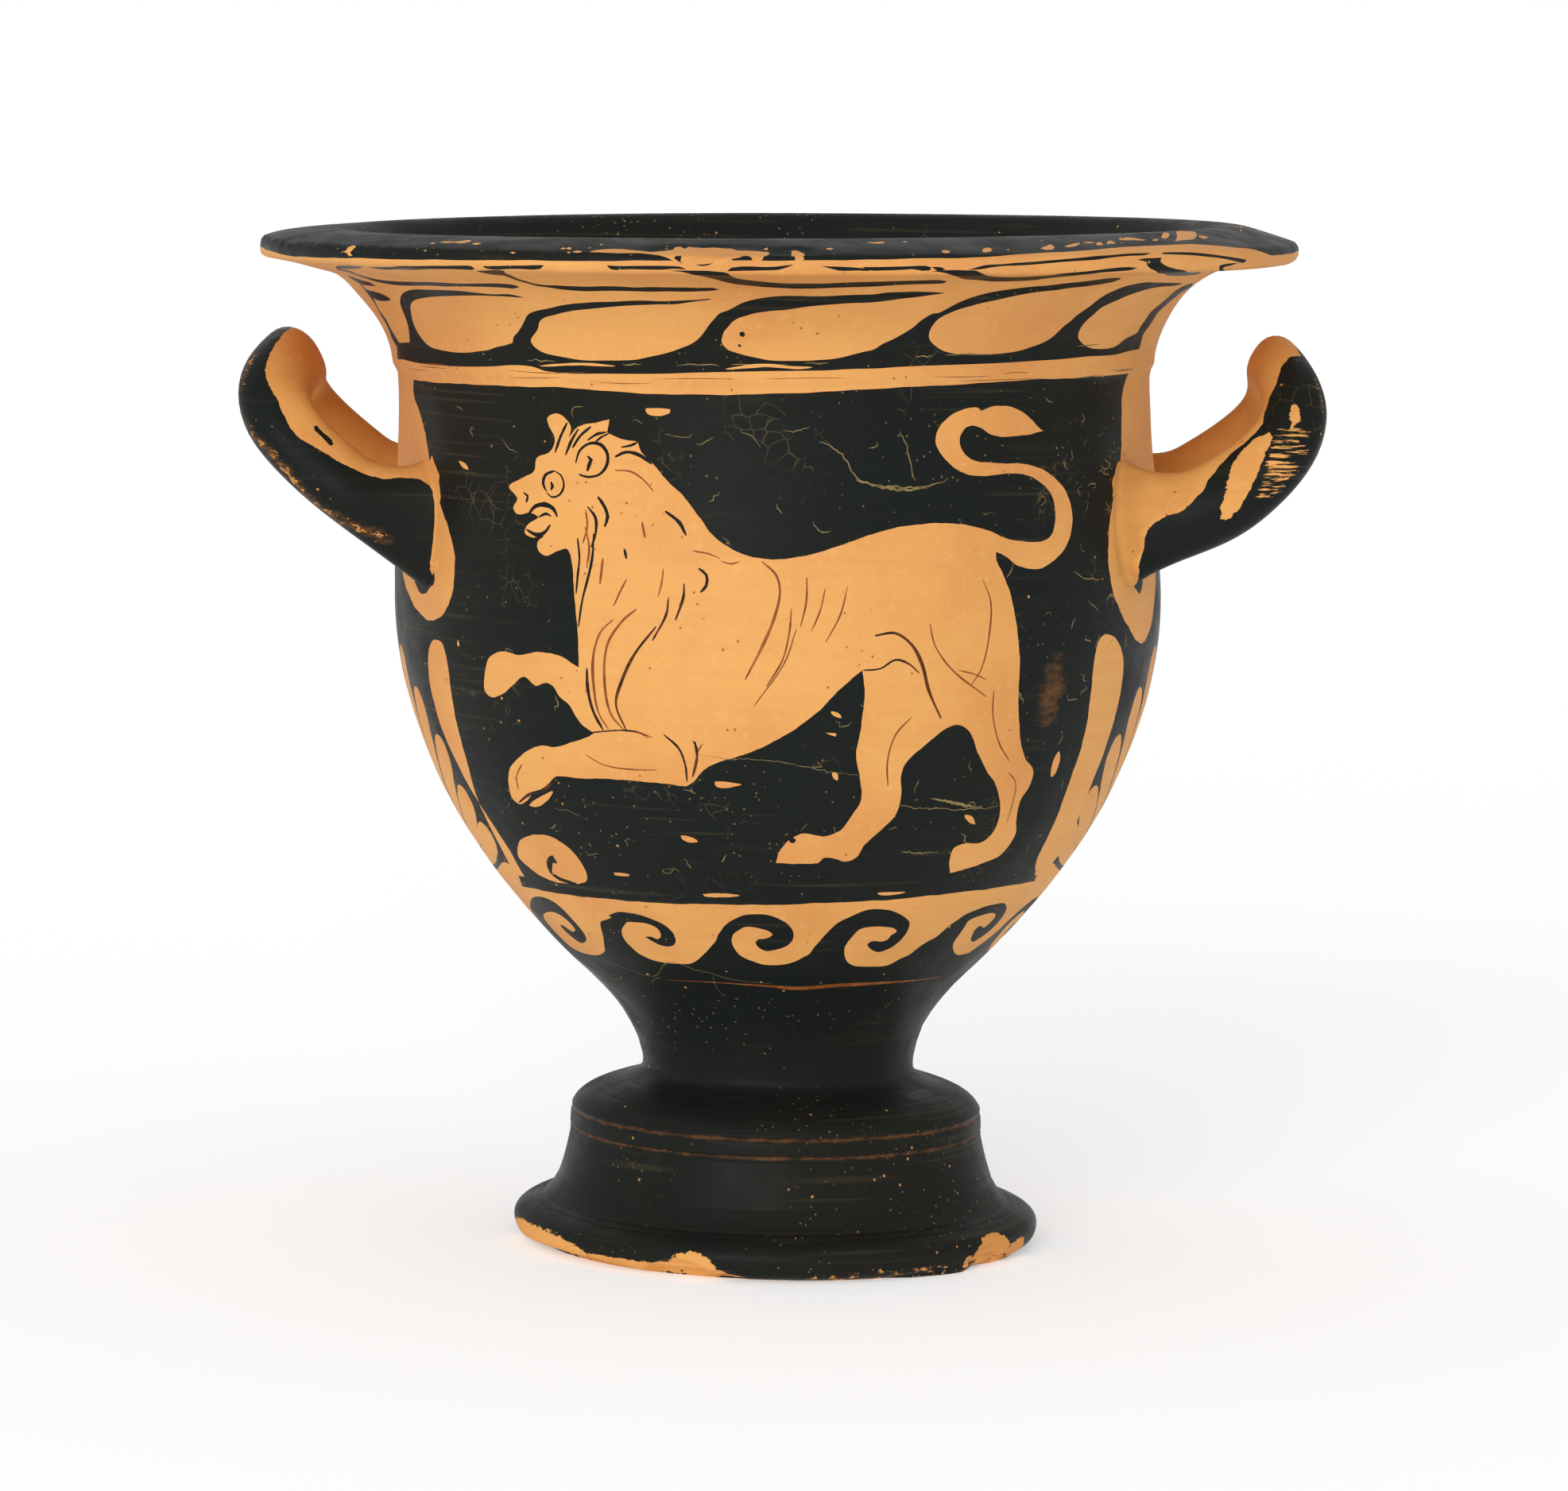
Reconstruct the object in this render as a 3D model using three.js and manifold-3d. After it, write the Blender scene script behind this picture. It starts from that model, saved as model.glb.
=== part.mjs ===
// Bell krater: a wide-mouthed mixing bowl on a turned foot, with two upturned
// loop handles low on the wall. Thrown and joined before firing, so the whole
// vessel is one body of clay. Millimetres, +Z up, stands on z = 0, the painted
// front faces -Y and the handles stand out along X.
import * as THREE from 'three';
import { mergeVertices } from 'three/addons/utils/BufferGeometryUtils.js';
import Module from 'manifold-3d';

const wasm = await Module();
wasm.setup();

// ---- driving dimensions (mm) ------------------------------------------------
const SEGMENTS = 56;          // facets round the wheel-thrown body

const REST_IN = 51.0;         // resting ring, inner radius
const REST_OUT = 64.0;        // resting ring, outer radius
const BASE_R = 70.7;          // widest part of the foot
const BASE_Z = 5.6;           // height of that widest part
const BASE_TOP_R = 62.6;      // where the base moulding meets the upright
const BASE_TOP_Z = 11.8;
const FOOT_WALL_R = 55.6;     // upright part of the foot
const FOOT_SHELF_Z = 36.2;    // where the upright turns into the shelf
const STEM_R = 36.5;          // narrowest part, under the bowl
const STEM_Z = 47.6;

const LOW_R = 51.7;           // where the bowl's curve turns over
const LOW_Z = 74.6;
const LOW_ANGLE = 43.1;       // its slope there, degrees above level
const BELLY_R = 102.4;        // widest part of the bowl
const BELLY_Z = 175.0;
const NECK_R = 100.1;         // just under the step below the mouth
const NECK_Z = 230.0;
const STEP_R = 101.6;         // the small step out under the flare
const STEP_Z = 237.5;
const FLARE_R = 117.5;        // end of the flare, under the lip
const FLARE_Z = 261.0;
const LIP_R = 138.0;          // outermost edge of the lip
const LIP_Z = 267.0;
const LIP_EDGE = 2.7;         // half the thickness of the lip's edge
const CREST_R = 119.0;        // highest ring of the lip
const CREST_Z = 272.8;

const WALL = 6.8;             // thickness of the bowl wall
const MOUTH_R = 112.0;        // where the lip turns down into the bowl
const FLOOR_Z = 61.0;         // inside floor at the middle
const HOLLOW_Z = 43.0;        // top of the hollow under the foot

const LEAN = 1.04;            // degrees the bowl leans to -X on its level foot
const FOOT_X = 2.0;           // middle of the foot, so the whole is centred
const TILT_X = -0.4;          // the mouth sits a little lower at -X
const TILT_Y = 0.5;           // and a little higher at the back (+Y)
const LIP_TWIST = 1.2;        // the lip's edge lifts at -X and sinks at +X
// sideways wander of the thrown wall: height, shift towards +X
const WANDER = [
  [0, 0], [18, -0.3], [34, -0.5], [48, -0.2], [90, -0.2], [140, -0.1], [170, -0.2],
  [200, -0.6], [222, -1.2], [240, -1.6], [255, -2.1], [262, -0.9], [267, 0], [280, 0],
];

// each handle: centre line of the strap seen from the front (distance out
// from the axis, height), half spread of the legs, half sizes of the section
const HANDLES = [
  {
    side: -1, spread: 44.0, root: [97.0, 194.0], rise: [117.2, 210.6],
    bend: [138.6, 223.0], crown: [129.4, 236.0],
    legWide: 9.0, legThick: 8.9, crownWide: 8.6, crownThick: 9.6,
  },
  {
    side: 1, spread: 44.0, root: [97.0, 193.0], rise: [122.0, 206.0],
    bend: [144.2, 216.0], crown: [134.6, 235.2],
    legWide: 9.0, legThick: 9.7, crownWide: 7.8, crownThick: 7.5,
  },
];
const LOOP_FULLNESS = 2.5;    // 2 is a plain half-ellipse, more is squarer
const ROOT_WIDE = 12.8;       // half size of a handle root on the wall, sideways
const ROOT_TOP = 215.0;       // and its top and bottom, just inside the clay
const ROOT_BOTTOM = 175.5;
const ROOT_SINK = 3.0;        // how far a root is worked into the wall
const ROOT_BLEND = 20.0;      // length of leg over which the root swells
const HANDLE_STEPS = 22;      // rings along the loop
const HANDLE_SIDES = 12;      // corners round the section

// ---- profile ------------------------------------------------------------------
const rad = (d) => (d * Math.PI) / 180;
const smooth = (x) => { const t = Math.min(1, Math.max(0, x)); return t * t * (3 - 2 * t); };
const mix = (a, b, t) => a + (b - a) * t;

function bezier(p0, p1, p2, p3, t) {
  const u = 1 - t;
  return [0, 1].map((i) => u * u * u * p0[i] + 3 * u * u * t * p1[i]
    + 3 * u * t * t * p2[i] + t * t * t * p3[i]);
}
function curve(p0, p1, p2, p3, n) {          // n points, without the first
  const out = [];
  for (let i = 1; i <= n; i += 1) out.push(bezier(p0, p1, p2, p3, i / n));
  return out;
}

function footProfile() {
  const base = [BASE_R, BASE_Z];
  const baseTop = [BASE_TOP_R, BASE_TOP_Z];
  const upright = [FOOT_WALL_R, FOOT_SHELF_Z - 8];
  const shelf = [FOOT_WALL_R - 1.6, FOOT_SHELF_Z + 1.8];
  const stem = [STEM_R, STEM_Z];
  return [
    [REST_OUT, 0],
    ...curve([REST_OUT, 0], [REST_OUT + 4.5, 0.2], [BASE_R, 2.4], base, 3),
    ...curve(base, [BASE_R, 9.2], [BASE_TOP_R + 3.8, BASE_TOP_Z - 1.6], baseTop, 2),
    ...curve(baseTop, [BASE_TOP_R - 3.6, BASE_TOP_Z + 1.6], [FOOT_WALL_R + 0.9, 20], upright, 3),
    ...curve(upright, [FOOT_WALL_R - 0.2, 32], [FOOT_WALL_R + 0.2, FOOT_SHELF_Z], shelf, 3),
    ...curve(shelf, [FOOT_WALL_R - 6, FOOT_SHELF_Z + 7.2], [STEM_R, STEM_Z - 4.6], stem, 4),
  ];
}

const lowDir = [Math.cos(rad(LOW_ANGLE)), Math.sin(rad(LOW_ANGLE))];
function bowlProfile() {
  const stem = [STEM_R, STEM_Z];
  const low = [LOW_R, LOW_Z];
  const belly = [BELLY_R, BELLY_Z];
  const neck = [NECK_R, NECK_Z];
  return [
    ...curve(stem, [STEM_R, STEM_Z + 7.5], [LOW_R - 16 * lowDir[0], LOW_Z - 16 * lowDir[1]], low, 4),
    ...curve(low, [LOW_R + 68.8 * lowDir[0], LOW_Z + 68.8 * lowDir[1]], [BELLY_R, BELLY_Z - 9], belly, 9),
    ...curve(belly, [BELLY_R, BELLY_Z + 16], [NECK_R, NECK_Z - 18], neck, 3),
  ];
}

function mouthProfile() {
  const step = [STEP_R, STEP_Z];
  const flare = [FLARE_R, FLARE_Z];
  const edgeLow = [LIP_R - 1.6, LIP_Z - LIP_EDGE];
  const edgeHigh = [LIP_R - 1.6, LIP_Z + LIP_EDGE];
  return [
    [NECK_R + 0.1, STEP_Z - 3.4],
    step,
    ...curve(step, [STEP_R + 0.6, STEP_Z + 9], [FLARE_R - 7, FLARE_Z - 3.2], flare, 5),
    ...curve(flare, [FLARE_R + 5, FLARE_Z + 1.8], [LIP_R - 8, LIP_Z - LIP_EDGE - 0.9], edgeLow, 2),
    [LIP_R, LIP_Z],
    edgeHigh,
    ...curve(edgeHigh, [LIP_R - 6, LIP_Z + LIP_EDGE + 1.5], [CREST_R + 5, CREST_Z - 0.1], [CREST_R, CREST_Z], 3),
  ];
}

function insideProfile() {
  const mouth = [MOUTH_R, 268.5];
  const throat = [NECK_R - WALL, NECK_Z + 4];
  const belly = [BELLY_R - WALL, BELLY_Z - 2];
  const deep = [LOW_R - WALL * lowDir[1], LOW_Z + WALL * lowDir[0]];
  return [
    ...curve([CREST_R, CREST_Z], [CREST_R - 4, CREST_Z], [MOUTH_R + 2.6, 271.6], mouth, 2),
    ...curve(mouth, [MOUTH_R - 6.5, 257], [NECK_R - WALL + 0.4, 250], throat, 4),
    ...curve(throat, [NECK_R - WALL, NECK_Z - 14], [BELLY_R - WALL, BELLY_Z + 15], belly, 3),
    ...curve(belly, [BELLY_R - WALL, BELLY_Z - 12], [deep[0] + 62 * lowDir[0], deep[1] + 62 * lowDir[1]], deep, 7),
    ...curve(deep, [deep[0] - 18 * lowDir[0], deep[1] - 18 * lowDir[1]], [22, FLOOR_Z], [0, FLOOR_Z], 4),
  ];
}

function hollowProfile() {                    // from the axis out to the ring
  return [
    [0, HOLLOW_Z],
    ...curve([0, HOLLOW_Z], [20, HOLLOW_Z], [40, 35], [44.5, 24], 4),
    ...curve([44.5, 24], [47, 17], [REST_IN - 1.4, 8], [REST_IN, 0], 2),
  ];
}

const outer = [...footProfile(), ...bowlProfile(), ...mouthProfile()];

// outer radius of the wall at a height between the belly's underside and neck
function wallRadius(z) {
  for (let i = 1; i < outer.length; i += 1) {
    const [r0, z0] = outer[i - 1];
    const [r1, z1] = outer[i];
    if (z0 > 60 && z1 > z0 && z >= z0 && z <= z1) return mix(r0, r1, (z - z0) / (z1 - z0));
  }
  return BELLY_R;
}

// the vessel as it came from the kiln: the wall wanders a little, the lip is
// not quite true, and the bowl leans on its foot
function fire(geometry) {
  const p = geometry.getAttribute('position');
  for (let i = 0; i < p.count; i += 1) {
    let x = p.getX(i);
    const y = p.getY(i);
    let z = p.getZ(i);
    let shift = 0;
    for (let k = 1; k < WANDER.length; k += 1) {
      if (z >= WANDER[k - 1][0] && z <= WANDER[k][0]) {
        const t = (z - WANDER[k - 1][0]) / (WANDER[k][0] - WANDER[k - 1][0]);
        shift = mix(WANDER[k - 1][1], WANDER[k][1], smooth(t));
      }
    }
    const mouth = smooth((z - 240) / 22);
    const edge = smooth((Math.hypot(x, y) - 121) / 15) * mouth;
    const lift = mouth * (-TILT_X * x + TILT_Y * y) / LIP_R - (edge * LIP_TWIST * x) / LIP_R;
    x += shift;
    z += lift;
    const lean = Math.sin(rad(LEAN)) * smooth((z - 44) / 14);
    p.setXYZ(i, x - (z - STEM_Z) * lean + FOOT_X, y, z + x * lean);
  }
  return geometry;
}

// ---- solids ---------------------------------------------------------------------
function toManifold(geometry) {
  const bare = new THREE.BufferGeometry();
  bare.setAttribute('position', geometry.getAttribute('position').clone());
  if (geometry.index) bare.setIndex(geometry.index.clone());
  const g = mergeVertices(bare, 1e-4);
  return new wasm.Manifold(new wasm.Mesh({
    numProp: 3,
    vertProperties: new Float32Array(g.getAttribute('position').array),
    triVerts: new Uint32Array(g.index.array),
  }));
}

function toGeometry(manifold) {
  const m = manifold.getMesh();
  const g = new THREE.BufferGeometry();
  g.setAttribute('position', new THREE.BufferAttribute(new Float32Array(m.vertProperties), 3));
  g.setIndex(new THREE.BufferAttribute(new Uint32Array(m.triVerts), 1));
  const flat = g.toNonIndexed();
  flat.computeVertexNormals();
  return flat;
}

function bodyGeometry() {
  const ring = [...outer, ...insideProfile(), ...hollowProfile().slice(0)];
  const points = ring.map(([r, z]) => new THREE.Vector2(r, z));
  points.push(points[0].clone());
  const g = new THREE.LatheGeometry(points, SEGMENTS);
  g.rotateX(Math.PI / 2);
  return g;
}

// rounded three-cornered section of the handle: sideways, then outward
function sectionPoint(angle, wide, thick) {
  const swell = 1 + 0.06 * Math.cos(3 * (angle + Math.PI / 2));
  return [wide * swell * Math.cos(angle), thick * swell * Math.sin(angle)];
}

function handleGeometry(h) {
  const centre = (tau) => {
    const c = Math.cos(tau);
    const v = Math.sin(tau) ** (2 / LOOP_FULLNESS);
    const y = -h.spread * Math.sign(c) * Math.abs(c) ** (2 / LOOP_FULLNESS);
    const [a, z] = bezier(h.root, h.rise, h.bend, h.crown, v);
    return new THREE.Vector3(a, y, z);
  };
  // even steps along the loop
  const fine = [];
  for (let i = 0; i <= 400; i += 1) fine.push(centre((Math.PI * i) / 400));
  const run = [0];
  for (let i = 1; i < fine.length; i += 1) run.push(run[i - 1] + fine[i].distanceTo(fine[i - 1]));
  const total = run[400];
  const at = (s) => {
    let i = 1;
    while (i < 400 && run[i] < s) i += 1;
    const t = (s - run[i - 1]) / (run[i] - run[i - 1]);
    return fine[i - 1].clone().lerp(fine[i], t);
  };
  // outward normal of the strap, from the slope of its front-view curve
  const normalAt = (s) => {
    const e = 0.4;
    const p = at(s);
    const q0 = at(Math.max(0, s - e));
    const q1 = at(Math.min(total, s + e));
    const tangent = q1.clone().sub(q0).normalize();
    let bestV = 0;
    let bestD = Infinity;
    for (let k = 0; k <= 200; k += 1) {
      const [a, z] = bezier(h.root, h.rise, h.bend, h.crown, k / 200);
      const d = (a - p.x) ** 2 + (z - p.z) ** 2;
      if (d < bestD) { bestD = d; bestV = k / 200; }
    }
    const b0 = bezier(h.root, h.rise, h.bend, h.crown, Math.max(0, bestV - 0.02));
    const b1 = bezier(h.root, h.rise, h.bend, h.crown, Math.min(1, bestV + 0.02));
    const n = new THREE.Vector3(b1[1] - b0[1], 0, -(b1[0] - b0[0])).normalize();
    n.addScaledVector(tangent, -n.dot(tangent)).normalize();
    const side = new THREE.Vector3().crossVectors(tangent, n).normalize();
    return { p, tangent, n, side };
  };
  const rings = [];
  const start = ROOT_BLEND;
  for (let i = 0; i <= HANDLE_STEPS; i += 1) {
    const s = mix(start, total - start, i / HANDLE_STEPS);
    const f = normalAt(s);
    const mid = Math.sin(Math.PI * (s / total)) ** 2;
    const wide = mix(h.legWide, h.crownWide, mid);
    const thick = mix(h.legThick, h.crownThick, mid ** 1.5);
    const ring = [];
    for (let j = 0; j < HANDLE_SIDES; j += 1) {
      const [u, w] = sectionPoint((2 * Math.PI * j) / HANDLE_SIDES, wide, thick);
      ring.push(f.p.clone().addScaledVector(f.side, u).addScaledVector(f.n, w));
    }
    rings.push({ ring, f });
  }
  // roots: each corner of the first and last ring runs down to its place on the
  // wall, swelling outwards, and ends a little inside the clay
  const rootRings = (end) => {
    const { ring, f } = rings[end === 0 ? 0 : HANDLE_STEPS];
    const dir = end === 0 ? -1 : 1;           // from the leg towards the wall
    const out = [];
    const ySign = end === 0 ? -1 : 1;
    const theta0 = Math.asin((h.spread + 0.6) / BELLY_R);
    for (const k of [0.66, 0.33, 0.0]) {
      const row = [];
      for (let j = 0; j < HANDLE_SIDES; j += 1) {
        const q = ring[j];
        const angle = (2 * Math.PI * j) / HANDLE_SIDES;
        const sideways = Math.sign(f.side.y) * Math.cos(angle);
        const theta = theta0 * ySign + (sideways * ROOT_WIDE) / BELLY_R;
        const z = mix(ROOT_BOTTOM, ROOT_TOP, 0.5 - 0.5 * Math.sin(angle));
        const r = wallRadius(z) - ROOT_SINK;
        const foot = new THREE.Vector3(r * Math.cos(theta), r * Math.sin(theta), z);
        const gap = foot.distanceTo(q);
        const c1 = q.clone().addScaledVector(f.tangent, dir * gap * 0.5);
        const inward = new THREE.Vector3(Math.cos(theta), Math.sin(theta), 0);
        const c0 = foot.clone().addScaledVector(inward, 4.4)
          .lerp(c1, 0.16);
        const t = k;
        const w = 1 - t;
        row.push(foot.clone().multiplyScalar(w * w * w)
          .addScaledVector(c0, 3 * w * w * t)
          .addScaledVector(c1, 3 * w * t * t)
          .addScaledVector(q, t * t * t));
      }
      out.push(row);
    }
    return out;
  };
  const near = rootRings(0);
  const far = rootRings(1);
  const all = [near[2], near[1], near[0], ...rings.map((r) => r.ring), ...far];
  const position = [];
  for (const ring of all) for (const v of ring) position.push(h.side * v.x, v.y, v.z);
  const index = [];
  const n = HANDLE_SIDES;
  for (let i = 0; i + 1 < all.length; i += 1) {
    for (let j = 0; j < n; j += 1) {
      const a = i * n + j;
      const b = i * n + ((j + 1) % n);
      index.push(a, b, a + n, b, b + n, a + n);
    }
  }
  for (const end of [0, all.length - 1]) {
    const c = new THREE.Vector3();
    for (const v of all[end]) c.add(v);
    c.multiplyScalar(1 / n);
    const id = position.length / 3;
    position.push(h.side * c.x, c.y, c.z);
    for (let j = 0; j < n; j += 1) {
      const a = end * n + j;
      const b = end * n + ((j + 1) % n);
      if (end === 0) index.push(id, b, a); else index.push(id, a, b);
    }
  }
  if (h.side < 0) {
    for (let i = 0; i < index.length; i += 3) {
      const keep = index[i];
      index[i] = index[i + 1];
      index[i + 1] = keep;
    }
  }
  const g = new THREE.BufferGeometry();
  g.setAttribute('position', new THREE.Float32BufferAttribute(position, 3));
  g.setIndex(index);
  return g;
}

function signedVolume(geometry) {
  const g = geometry.index ? geometry.toNonIndexed() : geometry;
  const p = g.getAttribute('position');
  const a = new THREE.Vector3();
  const b = new THREE.Vector3();
  const c = new THREE.Vector3();
  let v = 0;
  for (let i = 0; i < p.count; i += 3) {
    a.fromBufferAttribute(p, i);
    b.fromBufferAttribute(p, i + 1);
    c.fromBufferAttribute(p, i + 2);
    v += a.dot(b.cross(c)) / 6;
  }
  return v;
}

function outwards(geometry) {
  if (signedVolume(geometry) < 0) {
    const idx = geometry.index.array;
    for (let i = 0; i < idx.length; i += 3) {
      const keep = idx[i];
      idx[i] = idx[i + 1];
      idx[i + 1] = keep;
    }
  }
  return geometry;
}

let solid = toManifold(outwards(fire(bodyGeometry())));
for (const h of HANDLES) solid = solid.add(toManifold(outwards(fire(handleGeometry(h)))));

const glaze = new THREE.MeshStandardMaterial({ color: 0x23272a, roughness: 0.42, metalness: 0.0 });
const krater = new THREE.Mesh(toGeometry(solid), glaze);
krater.name = 'krater';

const group = new THREE.Group();
group.name = 'bell_krater';
group.add(krater);

export default group;
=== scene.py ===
import math

import bpy
import numpy as np
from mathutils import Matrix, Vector
from mathutils.geometry import delaunay_2d_cdt


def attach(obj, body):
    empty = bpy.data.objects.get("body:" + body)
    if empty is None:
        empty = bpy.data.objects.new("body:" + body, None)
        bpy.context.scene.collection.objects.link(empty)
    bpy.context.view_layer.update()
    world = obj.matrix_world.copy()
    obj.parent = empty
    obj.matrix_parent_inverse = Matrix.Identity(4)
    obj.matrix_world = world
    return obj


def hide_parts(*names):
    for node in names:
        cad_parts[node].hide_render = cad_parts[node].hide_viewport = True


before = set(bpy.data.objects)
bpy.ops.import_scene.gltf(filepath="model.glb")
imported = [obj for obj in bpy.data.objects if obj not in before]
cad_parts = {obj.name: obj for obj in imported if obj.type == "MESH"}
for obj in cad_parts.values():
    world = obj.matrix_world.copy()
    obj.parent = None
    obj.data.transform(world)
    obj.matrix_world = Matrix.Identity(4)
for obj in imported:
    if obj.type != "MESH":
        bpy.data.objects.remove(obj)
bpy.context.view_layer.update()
RNG = np.random.default_rng(20417)

# ---- driving dimensions (mm), the same vessel as the solid --------------------
REST_IN, REST_OUT = 51.0, 64.0
BASE_R, BASE_Z = 70.7, 5.6
BASE_TOP_R, BASE_TOP_Z = 62.6, 11.8
FOOT_WALL_R, FOOT_SHELF_Z = 55.6, 36.2
STEM_R, STEM_Z = 36.5, 47.6
LOW_R, LOW_Z, LOW_ANGLE = 52.6, 74.6, 43.1
BELLY_R, BELLY_Z = 102.4, 175.0
NECK_R, NECK_Z = 100.1, 230.0
STEP_R, STEP_Z = 101.6, 237.5
FLARE_R, FLARE_Z = 117.5, 261.0
LIP_R, LIP_Z, LIP_EDGE = 138.0, 267.0, 2.7
CREST_R, CREST_Z = 119.0, 272.8
WALL = 6.8
MOUTH_R = 112.0
FLOOR_Z = 61.0
HOLLOW_Z = 43.0
LEAN, FOOT_X = 1.04, 2.0
TILT_X, TILT_Y, LIP_TWIST = -0.4, 0.5, 1.2
WANDER = np.array([
    (0, 0), (18, -0.3), (34, -0.5), (48, -0.2), (90, -0.2), (140, -0.1), (170, -0.2),
    (200, -0.6), (222, -1.2), (240, -1.6), (255, -2.1), (262, -0.9), (267, 0), (280, 0)], float)


def smooth(x):
    t = np.clip(x, 0.0, 1.0)
    return t * t * (3 - 2 * t)


def bez(p0, p1, p2, p3, n):
    t = np.linspace(0, 1, n + 1)[1:, None]
    p0, p1, p2, p3 = (np.asarray(p, float) for p in (p0, p1, p2, p3))
    u = 1 - t
    return u**3 * p0 + 3 * u * u * t * p1 + 3 * u * t * t * p2 + t**3 * p3


FINE = 60


def outer_profile():
    low = np.array([np.cos(np.radians(LOW_ANGLE)), np.sin(np.radians(LOW_ANGLE))])
    rest, base = (REST_OUT, 0), (BASE_R, BASE_Z)
    base_top, upright = (BASE_TOP_R, BASE_TOP_Z), (FOOT_WALL_R, FOOT_SHELF_Z - 8)
    shelf, stem = (FOOT_WALL_R - 1.6, FOOT_SHELF_Z + 1.8), (STEM_R, STEM_Z)
    lowp, belly, neck = np.array([LOW_R, LOW_Z]), (BELLY_R, BELLY_Z), (NECK_R, NECK_Z)
    step0, step, flare = (NECK_R + 0.1, STEP_Z - 3.4), (STEP_R, STEP_Z), (FLARE_R, FLARE_Z)
    e_low, e_high = (LIP_R - 1.6, LIP_Z - LIP_EDGE), (LIP_R - 1.6, LIP_Z + LIP_EDGE)
    n = FINE
    return np.vstack([
        [rest],
        bez(rest, (REST_OUT + 4.5, 0.2), (BASE_R, 2.4), base, n),
        bez(base, (BASE_R, 9.2), (BASE_TOP_R + 3.8, BASE_TOP_Z - 1.6), base_top, n),
        bez(base_top, (BASE_TOP_R - 3.3, BASE_TOP_Z + 2.0), (FOOT_WALL_R + 1.9, 19), upright, n),
        bez(upright, (FOOT_WALL_R - 0.2, 32), (FOOT_WALL_R + 0.2, FOOT_SHELF_Z), shelf, n),
        bez(shelf, (FOOT_WALL_R - 6, FOOT_SHELF_Z + 7.2), (STEM_R, STEM_Z - 4.6), stem, n),
        bez(stem, (STEM_R, STEM_Z + 7.5), lowp - 16 * low, lowp, n),
        bez(lowp, lowp + 68.8 * low, (BELLY_R, BELLY_Z - 9), belly, 2 * n),
        bez(belly, (BELLY_R, BELLY_Z + 16), (NECK_R, NECK_Z - 18), neck, n),
        bez(neck, (NECK_R, NECK_Z + 1.5), (NECK_R + 0.1, STEP_Z - 4.5), step0, n // 4),
        bez(step0, (NECK_R + 0.1, STEP_Z - 2.6), (STEP_R, STEP_Z - 1.6), step, n // 3),
        bez(step, (STEP_R + 0.6, STEP_Z + 9), (FLARE_R - 7, FLARE_Z - 3.2), flare, n),
        bez(flare, (FLARE_R + 5, FLARE_Z + 1.8), (LIP_R - 8, LIP_Z - LIP_EDGE - 0.9), e_low, n),
        bez(e_low, (LIP_R - 0.3, LIP_Z - LIP_EDGE + 0.3), (LIP_R, LIP_Z - 1.4), (LIP_R, LIP_Z), n // 3),
        bez((LIP_R, LIP_Z), (LIP_R, LIP_Z + 1.4), (LIP_R - 0.3, LIP_Z + LIP_EDGE - 0.3), e_high, n // 3),
        bez(e_high, (LIP_R - 6, LIP_Z + LIP_EDGE + 1.5), (CREST_R + 5, CREST_Z - 0.1), (CREST_R, CREST_Z), n),
        bez((CREST_R, CREST_Z), (CREST_R - 4, CREST_Z), (MOUTH_R + 2.6, 271.6), (MOUTH_R, 268.5), n // 2),
    ])


def inner_profile():
    low = np.array([np.cos(np.radians(LOW_ANGLE)), np.sin(np.radians(LOW_ANGLE))])
    mouth, throat = (MOUTH_R, 268.5), (NECK_R - WALL, NECK_Z + 4)
    belly = (BELLY_R - WALL, BELLY_Z - 2)
    deep = np.array([LOW_R - WALL * low[1], LOW_Z + WALL * low[0]])
    n = FINE
    return np.vstack([
        [mouth],
        bez(mouth, (MOUTH_R - 6.5, 257), (NECK_R - WALL + 0.4, 250), throat, n),
        bez(throat, (NECK_R - WALL, NECK_Z - 14), (BELLY_R - WALL, BELLY_Z + 15), belly, n),
        bez(belly, (BELLY_R - WALL, BELLY_Z - 12), deep + 62 * low, deep, n),
        bez(deep, deep - 18 * low, (22, FLOOR_Z), (0, FLOOR_Z), n),
    ])


def hollow_profile():
    n = FINE
    return np.vstack([
        [(0, HOLLOW_Z)],
        bez((0, HOLLOW_Z), (20, HOLLOW_Z), (40, 35), (44.5, 24), n),
        bez((44.5, 24), (47, 17), (REST_IN - 1.4, 8), (REST_IN, 0), n),
        [(REST_OUT, 0)],
    ])


def arc(profile):
    return np.concatenate([[0], np.cumsum(np.hypot(*np.diff(profile, axis=0).T))])


OUT = outer_profile()
OUT_V = arc(OUT)
V_TOP = OUT_V[-1]
UREF = 100.0            # one unit of u is a millimetre at this radius


def r_of(v):
    return np.interp(v, OUT_V, OUT[:, 0])


def z_of(v):
    return np.interp(v, OUT_V, OUT[:, 1])


_rise = (OUT_V > np.interp(2.0, OUT[:200, 1], OUT_V[:200])) & (OUT[:, 1] < FLARE_Z + 1.0) & (np.arange(len(OUT)) < len(OUT) * 0.75)


def v_of_z(z):
    """Place on the outside of the wall, up from the base, for a height."""
    k = np.nonzero(_rise)[0]
    return np.interp(z, OUT[k, 1], OUT_V[k])


def wobble(x, seed, octaves=3, base=1.0):
    """Smooth 1-D noise from a few sines."""
    g = np.random.default_rng(seed)
    out = np.zeros_like(np.asarray(x, float))
    amp = 1.0
    for i in range(octaves):
        f = base * (1.9 ** i) * g.uniform(0.8, 1.2)
        out += amp * np.sin(f * np.asarray(x, float) + g.uniform(0, 6.28))
        amp *= 0.6
    return out / 1.6


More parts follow.
